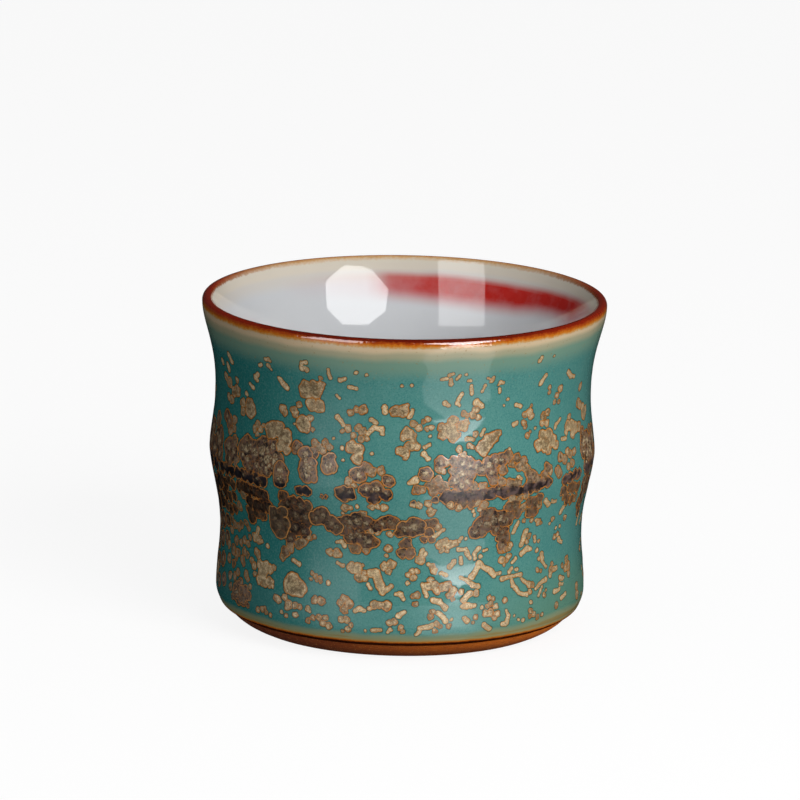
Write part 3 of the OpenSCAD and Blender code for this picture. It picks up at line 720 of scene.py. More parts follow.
# %% Twigs of the front
TWIGS = [
    # Fragments under the lip
    [(-30.6, 54.6, 0.55), (-30.3, 55.5, 0.4), (-29, 55.8, 0.5)], [(-29, 54.3, 0.5), (-30, 54.8, 0.4)],
    [(-22, 54.9, 0.3), (-21.6, 53.3, 0.4)], [(-18.5, 53.1, 0.5), (-17.2, 53.4, 0.4)], [(-13.6, 54.8, 0.4)],
    [(-10.6, 54.4, 0.3)], [(-15.8, 51.8, 0.4), (-13.9, 51.7, 0.4)], [(-20.1, 50.1, 0.3), (-19, 49.6, 0.3)],
    [(-0.4, 52.6, 0.3)], [(2.6, 52.8, 0.35)], [(11.3, 53.9, 0.35), (12.6, 54, 0.35)],
    [(13.4, 54.6, 0.35), (14.4, 54.9, 0.3)], [(13.8, 53.8, 0.3), (14, 52.8, 0.4)],
    [(15.6, 53.8, 0.25), (16.4, 54.5, 0.25)], [(18.3, 54.6, 0.3)], [(19, 53.4, 0.22), (19.9, 53.4, 0.3)],
    [(20.3, 52.3, 0.35), (20.6, 50.8, 0.35)], [(24.7, 52.3, 0.3), (23.9, 51.1, 0.3)],
    [(25.1, 53.6, 0.2), (26.2, 53.4, 0.25)], [(26.9, 53.7, 0.3), (26.7, 52.9, 0.35)],
    [(28.9, 52, 0.25), (29.6, 52.6, 0.4), (30.7, 52.4, 0.3)], [(29.5, 51.3, 0.35), (29.9, 50.6, 0.3)],
    [(17.5, 50.8, 0.4), (16.7, 49.9, 0.35), (16.1, 49.1, 0.4), (17, 48.6, 0.3)],
    [(12.5, 49.2, 0.45), (13.7, 48.8, 0.4)], [(32.9, 49, 0.35)], [(31.6, 47.9, 0.25)],
    [(36, 47.7, 0.4), (37.8, 47.3, 0.4)], [(35.4, 44.1, 0.4), (36.6, 44.2, 0.4)],
    [(22.3, 49, 0.7), (24.3, 48.3, 0.5)], [(43.2, 56.3, 0.4), (42.6, 55.7, 0.45)], [(48.3, 56.1, 0.25)],
    [(46.6, 52.5, 0.4), (44.9, 51, 0.5)], [(57.7, 52, 0.5), (60, 50.9, 0.45), (62.5, 50.5, 0.3)],
    [(-43.7, 54.9, 0.4), (-42.5, 55.1, 0.4), (-41.8, 54.8, 0.25)], [(-43, 53.8, 0.5), (-42.2, 53.3, 0.35)],
    [(-46.7, 53.4, 0.4), (-46, 53.7, 0.35)], [(-48.3, 51.5, 0.5), (-49.7, 50.8, 0.6), (-49, 50.2, 0.4)],
    [(-52.7, 49.2, 0.4), (-51.4, 48.7, 0.5)], [(-55, 47, 0.5)],
    [(-39.2, 51.7, 0.5), (-38, 50.8, 0.6), (-36.8, 50.2, 0.6)], [(-63, 53.5, 0.6), (-62, 52.4, 0.7)],
    [(-65.2, 51, 0.7), (-65, 50.4, 0.6)], [(-69.5, 51.3, 0.7)],
    # Links and scraps above the ridge
    [(-19.8, 46, 0.5), (-17.9, 44.5, 0.4)],
    [(-10.3, 43.3, 0.5), (-8.3, 44.4, 0.5), (-6.2, 44.1, 0.6), (-6, 43.3, 0.4)],
    [(-9.4, 46, 0.45), (-8, 45.3, 0.4)], [(-5.3, 48.4, 0.5), (-5.2, 47.4, 0.5)],
    [(3, 47.8, 0.35), (2, 46.7, 0.5)], [(-8.9, 39.6, 0.35)], [(-17.6, 38, 0.3)], [(-18.2, 40.3, 0.4)],
    [(-21.1, 41.9, 0.25)], [(-34.4, 43.6, 0.25)], [(8.3, 43, 0.3)], [(6.7, 40.9, 0.4), (8, 41.4, 0.35)],
    [(6.4, 39.8, 0.5), (7.8, 38.9, 0.45)], [(19.6, 42.3, 0.4), (21.4, 42.2, 0.35)],
    [(25.2, 43.7, 0.35), (24.4, 42.8, 0.35)], [(33.9, 39.6, 0.3)],
    [(53.2, 41.9, 0.4), (54.2, 42.6, 0.35), (55.8, 43.1, 0.3)], [(56.5, 39.4, 0.4), (58.5, 39.3, 0.4)],
    [(2, 34.5, 0.3), (4, 35, 0.7)], [(36.7, 34.2, 0.35), (37.7, 33.8, 0.3)], [(44, 42.7, 0.3)],
    # Twigs below the ridge
    [(-20, 22.2, 0.3), (-18.4, 22.5, 0.4), (-17.5, 21.7, 0.5)], [(-19.9, 18.3, 0.3), (-18.1, 17.9, 0.4)],
    [(-13.1, 29.6, 0.35)],
    [(-9.1, 16.8, 0.8), (-7.6, 17, 0.9), (-6, 14.6, 0.9), (-5.2, 13.6, 0.7), (-2.7, 14.6, 0.4)],
    [(-9.9, 14.7, 0.4), (-9.2, 14, 0.4)], [(-22.7, 14.4, 0.45)], [(-35.5, 17.6, 0.4), (-33, 17, 0.4)],
    [(-13.6, 9.7, 0.4), (-12.2, 10.2, 0.5), (-10.9, 9.9, 0.4)], [(-9.3, 10.4, 0.45)],
    [(-1.2, 13.2, 0.3), (0.2, 13.2, 0.5), (1.2, 12.3, 0.4)], [(-8, 6.3, 0.4), (-5.8, 6.4, 0.4)],
    [(-10.3, 6.1, 0.3)], [(-0.2, 9.2, 0.5), (1.5, 9.9, 0.4)], [(-2.6, 6.5, 0.4), (-3.3, 6, 0.3)],
    [(-50.4, 21.9, 0.5), (-51.2, 20.8, 0.5)], [(-46.3, 19.1, 0.45)], [(-38.9, 7.6, 0.4)],
    [(-4.2, 20.3, 0.35)], [(10, 24, 0.5), (12.8, 25.3, 0.4)], [(6.8, 21.4, 0.4), (6.5, 20.4, 0.5)],
    [(7.8, 20.8, 0.4), (6.8, 20.2, 0.5)], [(8.8, 18.7, 0.4), (9.6, 18.4, 0.4)], [(2.4, 15.3, 0.4)],
    [(7.2, 15, 0.4), (8.2, 12.9, 0.45)], [(18.3, 23, 0.35), (19, 23.5, 0.35)], [(20.5, 23.4, 0.3)],
    [(18.3, 21.3, 0.4), (20.5, 21.3, 0.4), (22.2, 19.4, 0.35)],
    [(24.8, 21.2, 0.5), (23.6, 20.2, 0.45), (23.8, 19.4, 0.4)], [(25.7, 19.7, 0.4)],
    [(26.7, 20.7, 0.25), (27.9, 20.9, 0.25)], [(19.2, 19.8, 0.4), (19.3, 18.6, 0.35)],
    [(16.9, 19.1, 0.5), (15.6, 18.1, 0.5)], [(12.8, 17, 0.35), (14.6, 16.6, 0.35)],
    [(25.3, 18.4, 0.6), (27, 17.5, 0.5), (29.3, 16.7, 0.6), (30.9, 15.7, 0.5)],
    [(25.2, 17.8, 0.5), (23.8, 16.7, 0.5), (22.8, 16, 0.6)], [(31.8, 16, 0.35), (32.8, 16.1, 0.4)],
    [(19.4, 15.9, 0.4), (21.3, 15.4, 0.4), (23.3, 14.4, 0.5), (25, 14.1, 0.5)],
    [(22.3, 12.9, 0.6), (20.2, 11.8, 0.6)], [(19.6, 10.7, 0.4), (21, 10.7, 0.6), (23.8, 10.6, 0.4)],
    [(10.4, 12.1, 0.5), (12.3, 11.7, 0.5), (14.2, 10.4, 0.5)], [(12, 9.7, 0.5), (14.5, 8.1, 0.5)],
    [(5.5, 5.7, 0.4), (6.5, 6.8, 0.5), (8.5, 7.1, 0.5), (10, 7.3, 0.5)], [(16.3, 8.2, 0.3)],
    [(20.5, 8.3, 0.5), (21.3, 7.9, 0.5)], [(27, 6.8, 0.5), (29, 5.9, 0.4)], [(26.3, 10.1, 0.35)],
    [(21.8, 28.7, 0.35)], [(22.3, 28, 0.35)], [(38.4, 25.4, 0.4), (37.2, 23.5, 0.4)],
    [(49, 28.6, 0.5), (50.5, 27.6, 0.5)], [(52, 28.1, 0.4), (54, 27.9, 0.3)], [(46, 25.1, 0.4)],
    [(42.3, 23.3, 0.6), (41, 20.9, 0.6)], [(41.2, 19, 0.5), (43.6, 19.8, 0.6), (45, 19.5, 0.4)],
    [(46.4, 21.8, 0.4), (46.7, 20.9, 0.4)], [(48.5, 20.8, 0.35)], [(48.1, 19.1, 0.45)],
    [(38.8, 18.4, 0.35), (37.6, 17.8, 0.35)],
    [(33.5, 14.9, 0.5), (36, 15.1, 0.4), (38.5, 15.1, 0.35), (41, 15.2, 0.45)],
    [(41.2, 14.4, 0.3), (43.3, 13.4, 0.4)],
    [(37, 15, 0.3), (37.8, 13.4, 0.5), (39.8, 12, 0.5), (41.5, 11.4, 0.4), (43.3, 11.3, 0.4)],
    [(36.5, 16, 0.4), (37.4, 16.6, 0.35)], [(39.4, 16.3, 0.4)],
    [(47.2, 11.9, 0.3), (50.3, 12.8, 0.4), (52.2, 13.1, 0.5)], [(48.4, 10.5, 0.35), (50.3, 11.8, 0.35)],
    [(50.5, 18, 0.6), (50.7, 16.8, 0.4), (52.7, 15.5, 0.35)], [(49.2, 17.3, 0.4)], [(51.3, 17.2, 0.4)],
    [(58.3, 14.6, 0.4), (55.8, 14.6, 0.5)], [(54.6, 13.4, 0.4), (55.2, 14.4, 0.5)],
    [(59.5, 20, 0.5), (60.7, 19.3, 0.4), (62, 19, 0.3)], [(58.5, 25.3, 0.6), (59.5, 26, 0.5)],
    [(60.5, 12.4, 0.6), (62.5, 12.2, 0.4)], [(60, 11.3, 0.4), (62, 11.1, 0.3)],
    [(56.5, 10.3, 0.5), (59.5, 10.4, 0.4)],
    [(34.8, 9, 0.3), (35.6, 7.9, 0.4), (34.9, 6.6, 0.5), (33.3, 6.5, 0.4)], [(38, 7.8, 0.25)],
    [(39.7, 6.9, 0.3)], [(41.5, 6.6, 0.4)], [(44.9, 9.6, 0.4)], [(60.5, 8.6, 0.4), (63.5, 9.1, 0.4)],
    [(53.3, 23.6, 0.35)], [(57, 22.4, 0.35)], [(59.5, 22.4, 0.4)],
]
print("planted:", len(TWIGS), "twigs")

# %% [markdown]
# ## Crystals of the back
# The photograph doesn't show the far side, so a seeded hand sows it in the same zones and sizes. The seed
# makes every run the same.

# %% Sow the back
SOWING_SEED = 41
BACK_FROM, BACK_TO = 70.0, 281.0
DEGREES_PER_MM = 1.6
sower = random.Random(SOWING_SEED)


def sow(count, low, high, small, large):
    """Random places on the back, each with a radius."""
    return [(sower.uniform(BACK_FROM, BACK_TO), sower.uniform(low, high), sower.uniform(small, large))
            for _ in range(count)]


def drift(count, low, high, small, large, gaps):
    """Like sow, but with open stretches left between the drifts."""
    return [seed for seed in sow(count, low, high, small, large)
            if not any(start < seed[0] < end for start, end in gaps)]


STRIPE_GAPS = [(84, 91), (118, 128), (155, 161), (196, 207), (238, 246), (270, 276)]
UPPER_GAPS = [(92, 103), (140, 150), (182, 190), (222, 235), (262, 268)]
LOWER_GAPS = [(76, 83), (124, 138), (172, 180), (210, 224), (252, 261)]
CROWDS += drift(95, low=31.2, high=32.4, small=0.9, large=1.3, gaps=STRIPE_GAPS)
CROWDS += drift(150, low=33.4, high=39.2, small=0.7, large=1.9, gaps=UPPER_GAPS)
CROWDS += drift(175, low=22.4, high=30.2, small=0.7, large=1.7, gaps=LOWER_GAPS)
upper_flowers = sow(34, low=40, high=49.5, small=0.6, large=1.4)
lower_flowers = sow(62, low=6.3, high=21.5, small=0.5, large=1.2)
for angle, height, radius in upper_flowers + lower_flowers:
    lobes = [(angle + sower.uniform(-2.2, 2.2) * radius, height + sower.uniform(-1.2, 1.2) * radius,
              radius * sower.uniform(0.5, 0.9)) for _ in range(sower.randrange(3))]
    FLOWERS.append([(angle, height, radius)] + lobes)
upper_twigs = sow(46, low=48, high=56, small=0.22, large=0.42)
lower_twigs = sow(95, low=5.8, high=23, small=0.3, large=0.5)
for angle, height, radius in upper_twigs + lower_twigs:
    turn = sower.uniform(0, math.pi)
    length = sower.uniform(0, 4.5) * radius
    tip = (angle + DEGREES_PER_MM * length * math.cos(turn), height + length * math.sin(turn),
           radius * sower.uniform(0.7, 1.1))
    TWIGS.append([(angle, height, radius), tip])
print("with the back:", len(CROWDS), "crowded,", len(FLOWERS), "flowers,", len(TWIGS), "twigs")

# %% [markdown]
# ## Growing them
# A crystal is a disc with a few lobes on its edge, and a twig is a row of discs. Outlines that follow the
# points of the mesh would look like broken glass. So every face of the coat keeps the two discs that it
# lies deepest in: their middles, radii and two marks for tone and burn. The finish works out the depth at
# each spot from them, and the edges come out round. Whole crystals lie over crowded ones, so they are a
# layer of their own.

# %% Discs for every crystal
MM_PER_DEGREE = math.radians(1) * 35.0
CORE_SHARE = 0.93
PLAIN_R = 0.42
END_SWELL, ROW_STEP = 1.12, 0.5


def petals(angle, height, radius):
    """A disc with three to five lobes on its edge, or a plain one if it is small."""
    discs = [(angle, height, radius * CORE_SHARE)]
    if radius > PLAIN_R:
        start = sower.uniform(0, math.tau)
        count = sower.randrange(3, 6)
        for step in range(count):
            turn = start + math.tau * (step + sower.uniform(-0.3, 0.3)) / count
            size = radius * sower.uniform(0.45, 0.72)
            out = radius * sower.uniform(1.02, 1.12) - size
            discs.append((angle + out * math.cos(turn) / MM_PER_DEGREE, height + out * math.sin(turn), size))
    return discs


def twig(chain):
    """Discs at the points of a chain and in rows between them."""
    discs = [(angle, height, radius * END_SWELL) for angle, height, radius in chain]
    for start, end in zip(chain, chain[1:]):
        length = math.hypot((end[0] - start[0]) * MM_PER_DEGREE, end[1] - start[1])
        steps = max(1, round(length / (ROW_STEP * min(start[2], end[2]))))
        for step in range(1, steps):
            discs.append(tuple(a + (b - a) * step / steps for a, b in zip(start, end)))
    return discs


def on_coat(angle, height):
    """The place on the face of the outer coat, in millimetres."""
    if height > HIP_Z:
        radius = outer_r(height)
    else:
        radius = HEEL_MID_R + math.sqrt(HEEL_R ** 2 - (HIP_Z - height) ** 2)
    turn = math.radians(angle)
    return radius * math.sin(turn), -radius * math.cos(turn), height


print("one degree on the wall:", round(MM_PER_DEGREE, 3), "mm")

# %% [markdown]
# A layer finds the two deepest discs of every face. When a deeper disc comes, the one that was deepest so
# far becomes the second.

# %% Layers of discs on the faces
NO_DISC = -9.0
KEPT_REACH = 1.0


class Layer:
    """The two discs that each face of the coat lies deepest in."""

    def __init__(self, places):
        self.places = places
        self.depths = np.full((2, len(places)), NO_DISC)
        self.middles = np.zeros((2, len(places), 3))
        self.marks = np.tile((NO_DISC, 0.5, 0.0), (2, len(places), 1))

    def put(self, order, faces, depth, middle, mark):
        self.depths[order, faces], self.middles[order, faces], self.marks[order, faces] = depth, middle, mark

    def grow(self, discs, tone, burn):
        """Offers the discs of one crystal to the faces near it."""
        middles = np.array([on_coat(angle, height) for angle, height, _ in discs])
        reach = max(radius for _, _, radius in discs) + KEPT_REACH
        inside = (self.places > middles.min(0) - reach) & (self.places < middles.max(0) + reach)
        near = np.flatnonzero(inside.all(axis=1))
        for middle, (_, _, radius) in zip(middles, discs):
            depth = radius - np.linalg.norm(self.places[near] - middle, axis=1)
            deepest = depth > self.depths[0, near]
            next_deepest = ~deepest & (depth > self.depths[1, near])
            mark = (radius, tone, burn)
            faces = near[deepest]
            self.put(1, faces, self.depths[0, faces], self.middles[0, faces], self.marks[0, faces])
            self.put(0, faces, depth[deepest], middle, mark)
            self.put(1, near[next_deepest], depth[next_deepest], middle, mark)

    def write(self, piece, name):
        """Keeps both discs on the faces, with their middles in metres."""
        for order in (0, 1):
            for kind, values in (("middle", self.middles[order] * MM), ("mark", self.marks[order])):
                reading = piece.data.attributes.new(f"{name}_{kind}_{order}", "FLOAT_VECTOR", "FACE")
                reading.data.foreach_set("vector", values.astype(np.float32).ravel())


faces = outer_coat.data.polygons
face_middles = np.zeros(len(faces) * 3)
faces.foreach_get("center", face_middles)
face_middles = face_middles.reshape(-1, 3) / MM
print("faces to grow on:", len(faces))

# %% [markdown]
# Large crystals and those of the belt around the ridge are burnt. Flowers low at the left get a burn mark as
# painted shade. Twigs stay pale.
# The crowded ones are drawn a little larger than they are planted, so that their edges meet in seams.

# %% Grow both layers
CROWD_SWELL = 1.2
BURNT_FROM, BURNT_TO, FLOWERS_BURNT_TO = 22.5, 30.5, 40
SHADED_FROM, SHADED_TO, SHADED_BELOW, SHADED_DARK_BELOW = -90, -54, 30, 11


def crowd_burn(height, radius):
    burn = min(1.0, max(0.2, 1.4 * radius - 0.6))
    return max(burn, 0.9) if BURNT_FROM < height < BURNT_TO and radius > 0.85 else burn


def flower_burn_or_shade(flower):
    angle, height, _ = flower[0]
    large = max(radius for _, _, radius in flower) > 1.0
    # Flowers low at the left take a burn mark that stands for painted shade.
    shaded = SHADED_FROM < angle < SHADED_TO and height < SHADED_BELOW
    if large and BURNT_FROM < height < FLOWERS_BURNT_TO or shaded and height < SHADED_DARK_BELOW:
        return sower.uniform(0.9, 1.0)
    return sower.uniform(0.4, 0.7) if shaded else sower.uniform(0.0, 0.25)


crowded = Layer(face_middles)
for angle, height, radius in CROWDS:
    discs = petals(angle, height, CROWD_SWELL * radius)
    crowded.grow(discs, tone=0.5 * sower.random(), burn=crowd_burn(height, radius))
whole = Layer(face_middles)
for flower in FLOWERS:
    burn = flower_burn_or_shade(flower)
    discs = [disc for seed in flower for disc in petals(*seed)]
    whole.grow(discs, tone=sower.uniform(0.1, 0.6), burn=burn)
for chain in TWIGS:
    whole.grow(twig(chain), tone=sower.uniform(0.7, 1.0), burn=0.0)
crowded.write(outer_coat, "crowded")
whole.write(outer_coat, "whole")
crystal_depth = np.maximum(crowded.depths[0], whole.depths[0])
print("crystal cover:", round(float((crystal_depth > 0).mean()), 3),
      "deepest", round(float(crystal_depth.max()), 2), "mm")

# %% [markdown]
# Crystals stand out of the glaze a little, so the points under them are moved out by a few hundredths of a
# millimetre. A bump would not show on the outline of the cup. Both ends of the coat stay as they are,
# because other coats meet them.

# %% Raise the crystals on the coat
CRYSTAL_RISE, CRYSTAL_SLOPE = 0.035, 0.45
RAISED_FROM, RAISED_TO = 5.2, RIM_LINE_Z - 1.0
corner_points = np.zeros(len(outer_coat.data.loops), dtype=np.int32)
outer_coat.data.loops.foreach_get("vertex_index", corner_points)
corner_counts = np.zeros(len(faces), dtype=np.int32)
faces.foreach_get("loop_total", corner_counts)
shares = np.repeat(np.clip(crystal_depth / CRYSTAL_SLOPE, 0, 1), corner_counts)
lifted = np.bincount(corner_points, weights=shares) / np.bincount(corner_points)
heights = outer_points[:, 2]
radii = np.hypot(outer_points[:, 0], outer_points[:, 1])
on_face = np.array([radius > outer_r(z) - COAT_T / 2 if z > HIP_Z else True
                    for radius, z in zip(radii, heights)])
away_from_ends = np.clip(heights - RAISED_FROM, 0, 1) * np.clip(RAISED_TO - heights, 0, 1)
raised = CRYSTAL_RISE * lifted * on_face * away_from_ends
outer_points[:, :2] *= (1 + raised / radii)[:, None]
move_points(outer_coat, outer_points)
print("raised points:", int((raised > 0).sum()))

# %% [markdown]
# ## Turquoise glaze with crystals
# The glaze is glossy, and it runs from cream under the lip over turquoise to sage at the foot. It is painted
# deeper at the left and paler at the right, as painted shade and light, with light and dark mottles in it. A
# painted picture could carry all of this, but mixed noise is as sharp from near as from far. First the glaze
# itself is mixed.

# %% Mix the turquoise glaze
glaze = Finish("turquoise_glaze")
level = glaze.math("ADD", glaze.height, glaze.jitter(0.12, 0.7, 3.0))
# A shaded and a lit copy of the turquoise, mixed from left to right: painted shade and light.
shaded_turquoise = glaze.mix(glaze.noise(0.16, 4.0), tint(22, 106, 106), tint(40, 120, 117))
lit_turquoise = glaze.mix(glaze.noise(0.16, 4.0), tint(66, 128, 124), tint(92, 145, 137))
turquoise = glaze.mix(glaze.rise(glaze.side, -34.0, 3.0), shaded_turquoise, lit_turquoise)
light_mottle = glaze.rise(glaze.noise(2.6, 3.0), 0.42, 0.72, 0.32)
turquoise = glaze.mix(light_mottle, turquoise, tint(112, 160, 150))
dark_mottle = glaze.rise(glaze.noise(4.2, 1.0), 0.46, 0.72, 0.34)
turquoise = glaze.mix(dark_mottle, turquoise, tint(26, 98, 98))
to_right = glaze.rise(glaze.side, 6.0, 34.0)
turquoise = glaze.mix(glaze.math("MULTIPLY", to_right, 0.2), turquoise, tint(52, 104, 96))
low_right = glaze.math("MULTIPLY", to_right, glaze.rise(glaze.height, 20.0, 6.0, 0.5))
turquoise = glaze.mix(low_right, turquoise, tint(96, 128, 92))
foot_level = glaze.math("SUBTRACT", level, glaze.math("MULTIPLY", to_right, 0.8))
field = glaze.along(foot_level, [(4.4, tint(142, 126, 80)), (4.8, tint(132, 140, 108)), (6.0, turquoise)])
lip_level = glaze.math("SUBTRACT", level, glaze.math("MULTIPLY", to_right, 0.2))
field = glaze.along(lip_level, [(52.8, field), (56.7, tint(112, 144, 126)), (58.3, tint(159, 156, 128)),
                                (59.4, tint(199, 177, 145))])
flecks = glaze.math("MULTIPLY", glaze.rise(glaze.noise(2.2, 1.0), 0.68, 0.74),
                    glaze.rise(level, 48.0, 58.0, 0.5))
field = glaze.mix(flecks, field, tint(140, 112, 62))
print("glaze nodes:", len(glaze.tree.nodes))

# %% [markdown]
# The crystals read their discs. The place is shaken a little first, which makes the round edges wander.
# Where two discs are about as deep, a smooth maximum melts them together, and the difference of both depths
# gives the seam.

# %% Read the discs
def shaken(finish, place, grains_per_mm, reach_mm):
    """The place, moved by noise as far as reach_mm along each axis."""
    wobble = finish.node("ShaderNodeTexNoise")
    wobble.inputs["Scale"].default_value = grains_per_mm / MM
    finish.feed(wobble.inputs["Vector"], finish.place)
    shift = finish.node("ShaderNodeVectorMath", operation="MULTIPLY_ADD")
    finish.feed(shift.inputs[0], wobble.outputs["Color"])
    shift.inputs[1].default_value = (2 * reach_mm * MM,) * 3
    shift.inputs[2].default_value = (-reach_mm * MM,) * 3
    moved = finish.node("ShaderNodeVectorMath", operation="ADD")
    finish.feed(moved.inputs[0], place)
    finish.feed(moved.inputs[1], shift.outputs[0])
    return moved.outputs[0]


def read_layer(finish, name, place, melt):
    """Depth in the nearest crystal in millimetres, the seam to the next one, disc radius, tone and burn."""
    depths, marks = [], []
    for order in (0, 1):
        middle = finish.node("ShaderNodeAttribute", attribute_name=f"{name}_middle_{order}")
        mark = finish.node("ShaderNodeAttribute", attribute_name=f"{name}_mark_{order}")
        parts = finish.node("ShaderNodeSeparateXYZ")
        finish.feed(parts.inputs[0], mark.outputs["Vector"])
        gap = finish.node("ShaderNodeVectorMath", operation="DISTANCE")
        finish.feed(gap.inputs[0], place)
        finish.feed(gap.inputs[1], middle.outputs["Vector"])
        depths.append(finish.math("SUBTRACT", parts.outputs[0],
                                  finish.math("MULTIPLY", gap.outputs["Value"], 1 / MM)))
        marks.append(parts.outputs)
    depth = finish.math("SMOOTH_MAX", depths[0], depths[1], melt)
    apart = finish.math("SUBTRACT", depths[0], depths[1])
    other = finish.rise(apart, 0.02, -0.02)
    blend = [finish.math("ADD", first, finish.math("MULTIPLY", other, finish.math("SUBTRACT", second, first)))
             for first, second in zip(*marks)]
    return depth, finish.math("ABSOLUTE", apart), *blend


print("nodes before the crystals:", len(glaze.tree.nodes))

# %% [markdown]
# Inside a crystal the tan is never even. Grains, specks, sparks, cracks and veins are noises of their own
# sizes. Burnt crystals are mauve, and nearly black in a broken stripe right under the ridge. Below the ridge
# and most of all at the left, the burnt ones are painted darker as painted shade, and the stripe is painted
# darker at the left and lighter at the right, as painted shade and light.

# %% Mix what lies inside the crystals
place = shaken(glaze, shaken(glaze, glaze.place, 0.8, 0.34), 2.6, 0.07)
mottle = glaze.noise(2.0, 5.0)
blotch = glaze.noise(0.9, 4.0)
both = glaze.math("ADD", glaze.math("MULTIPLY", mottle, 0.5), glaze.math("MULTIPLY", blotch, 0.5))
grain = glaze.rise(both, 0.42, 0.58)
specks = glaze.rise(glaze.noise(4.4, 2.0), 0.50, 0.66, 0.7)
sparks = glaze.rise(glaze.noise(3.2, 2.0), 0.56, 0.70, 0.55)
cracks = glaze.rise(glaze.noise(1.9, 2.0), 0.58, 0.66, 0.85)
vein_middle = glaze.math("ABSOLUTE", glaze.math("SUBTRACT", glaze.noise(1.1, 3.0), 0.5))
veins = glaze.rise(vein_middle, 0.045, 0.010, 0.75)
wander = glaze.jitter(1.3, 0.25, 3.0)
broken = glaze.rise(glaze.noise(0.7, 2.0), 0.40, 0.56)
stripe_wander = glaze.math("ADD", glaze.jitter(0.4, 0.6), glaze.jitter(1.2, 0.8))
stripe_level = glaze.math("ADD", glaze.height, stripe_wander)
stripe_band = glaze.math("MULTIPLY", glaze.band(stripe_level, 30.8, 32.7, 0.35),
                         glaze.rise(glaze.noise(0.5, 3.0), 0.33, 0.47))
clouds = glaze.rise(blotch, 0.40, 0.60)
# The stripe's dark copy at the left and light copy at the right are painted shade and light.
navy = glaze.mix(glaze.rise(glaze.side, -26.0, 22.0), glaze.mix(clouds, tint(8, 11, 20), tint(26, 25, 36)),
                 glaze.mix(clouds, tint(24, 19, 24), tint(90, 73, 70)))
mauve = glaze.mix(clouds, tint(34, 20, 22), tint(118, 92, 80))
mauve = glaze.mix(glaze.rise(mottle, 0.54, 0.68, 0.5), mauve, tint(132, 106, 76))
heart = glaze.mix(glaze.rise(mottle, 0.38, 0.60), tint(92, 72, 50), tint(202, 182, 144))
# Painted shade for burnt crystals below the ridge and most of all at the left.
shade_below_ridge = glaze.math("MULTIPLY", glaze.rise(glaze.height, 33.0, 29.5),
                        glaze.rise(glaze.height, 18.5, 23.0, 0.5))
shade_at_left = glaze.rise(glaze.side, -4.0, -32.0)
painted_crystal_shade = glaze.math("MAXIMUM", glaze.math("MULTIPLY", shade_at_left, 0.12),
                      glaze.math("MULTIPLY", shade_below_ridge, glaze.math("ADD", shade_at_left, 1.0)))
print("nodes with the crystals' insides:", len(glaze.tree.nodes))

# %% [markdown]
# From the edge inwards a crystal has a thin dark outline, an amber edge, and then a tan body with growth
# lines, as a tree has rings. A burnt one has a brown ring and a mauve body, and large lobes keep a pale
# heart. Where crowded crystals meet, the amber comes back in broken seams.

# %% Colour of a crystal
def crystal_colour(depth, seam, size, tone, burn, seam_share):
    """Tan or burnt inside, with an amber edge and a thin dark outline."""
    inner = glaze.math("ADD", depth, wander)
    growth = glaze.rise(glaze.math("SINE", glaze.math("MULTIPLY", inner, 8.5)), 0.1, 1.0, 0.45)
    tan = glaze.along(inner, [(0.35, glaze.mix(grain, tint(130, 106, 68), tint(218, 194, 152))),
                              (1.0, glaze.mix(grain, tint(98, 80, 52), tint(182, 161, 122)))])
    tan = glaze.mix(growth, tan, tint(106, 86, 52))
    paleness = glaze.math("MULTIPLY", glaze.math("MULTIPLY", tone, tone), 0.65)
    tan = glaze.mix(paleness, tan, tint(228, 204, 162))
    tan = glaze.mix(glaze.math("MULTIPLY", to_right, 0.25), tan, tint(110, 88, 56))
    tan = glaze.mix(sparks, tan, tint(208, 186, 140))
    tan = glaze.mix(specks, tan, tint(96, 74, 48))
    share = glaze.math("DIVIDE", inner, size)
    ring = glaze.along(share, [(0.12, tint(128, 97, 63)), (0.30, mauve)])
    in_heart = glaze.math("MULTIPLY", glaze.rise(share, 0.53, 0.80), glaze.rise(size, 0.9, 1.5))
    ring = glaze.mix(in_heart, ring, heart)
    ring = glaze.mix(cracks, ring, tint(32, 21, 18))
    ring = glaze.mix(veins, ring, tint(140, 108, 70))
    # The burnt ring is darkened by painted shade at the left and below the ridge.
    ring = glaze.mix(painted_crystal_shade, ring, tint(112, 102, 102), "MULTIPLY")
    body = glaze.mix(burn, tan, ring)
    on_seam = glaze.math("MULTIPLY", broken, glaze.rise(seam, 0.15, 0.03, seam_share))
    body = glaze.mix(on_seam, body, tint(146, 92, 42))
    dark = glaze.math("MULTIPLY", stripe_band, glaze.rise(depth, 0.10, 0.26, 0.95))
    body = glaze.mix(dark, body, navy)
    amber_edge = glaze.mix(tone, tint(172, 104, 38), tint(192, 142, 82))
    edge = glaze.math("MULTIPLY", depth, glaze.math("ADD", glaze.rise(size, 0.9, 0.3), 1.0))
    return glaze.along(edge, [(0.03, tint(48, 34, 20)), (0.09, amber_edge), (0.20, amber_edge), (0.33, body)])


print("crystal recipe ready")

# %% [markdown]
# Each layer is laid over what is there, with a dark halo where the crystal drew colour out of the glaze.
# Crystals are duller than the glaze, and so is a belt above the foot, which spreads the low highlight.

# %% Lay the crystals over the glaze
colour = field
dull = None
for name, melt, seam_share in (("crowded", 0.4, 0.65), ("whole", 0.28, 0.4)):
    depth, seam, size, tone, burn = read_layer(glaze, name, place, melt)
    halo = glaze.rise(depth, -0.20, -0.02, 0.7)
    colour = glaze.mix(halo, colour, tint(34, 52, 42))
    inside = glaze.rise(depth, -0.03, 0.03)
    colour = glaze.mix(inside, colour, crystal_colour(depth, seam, size, tone, burn, seam_share))
    covered = glaze.rise(depth, 0.0, 0.25)
    dull = covered if dull is None else glaze.math("MAXIMUM", dull, covered)

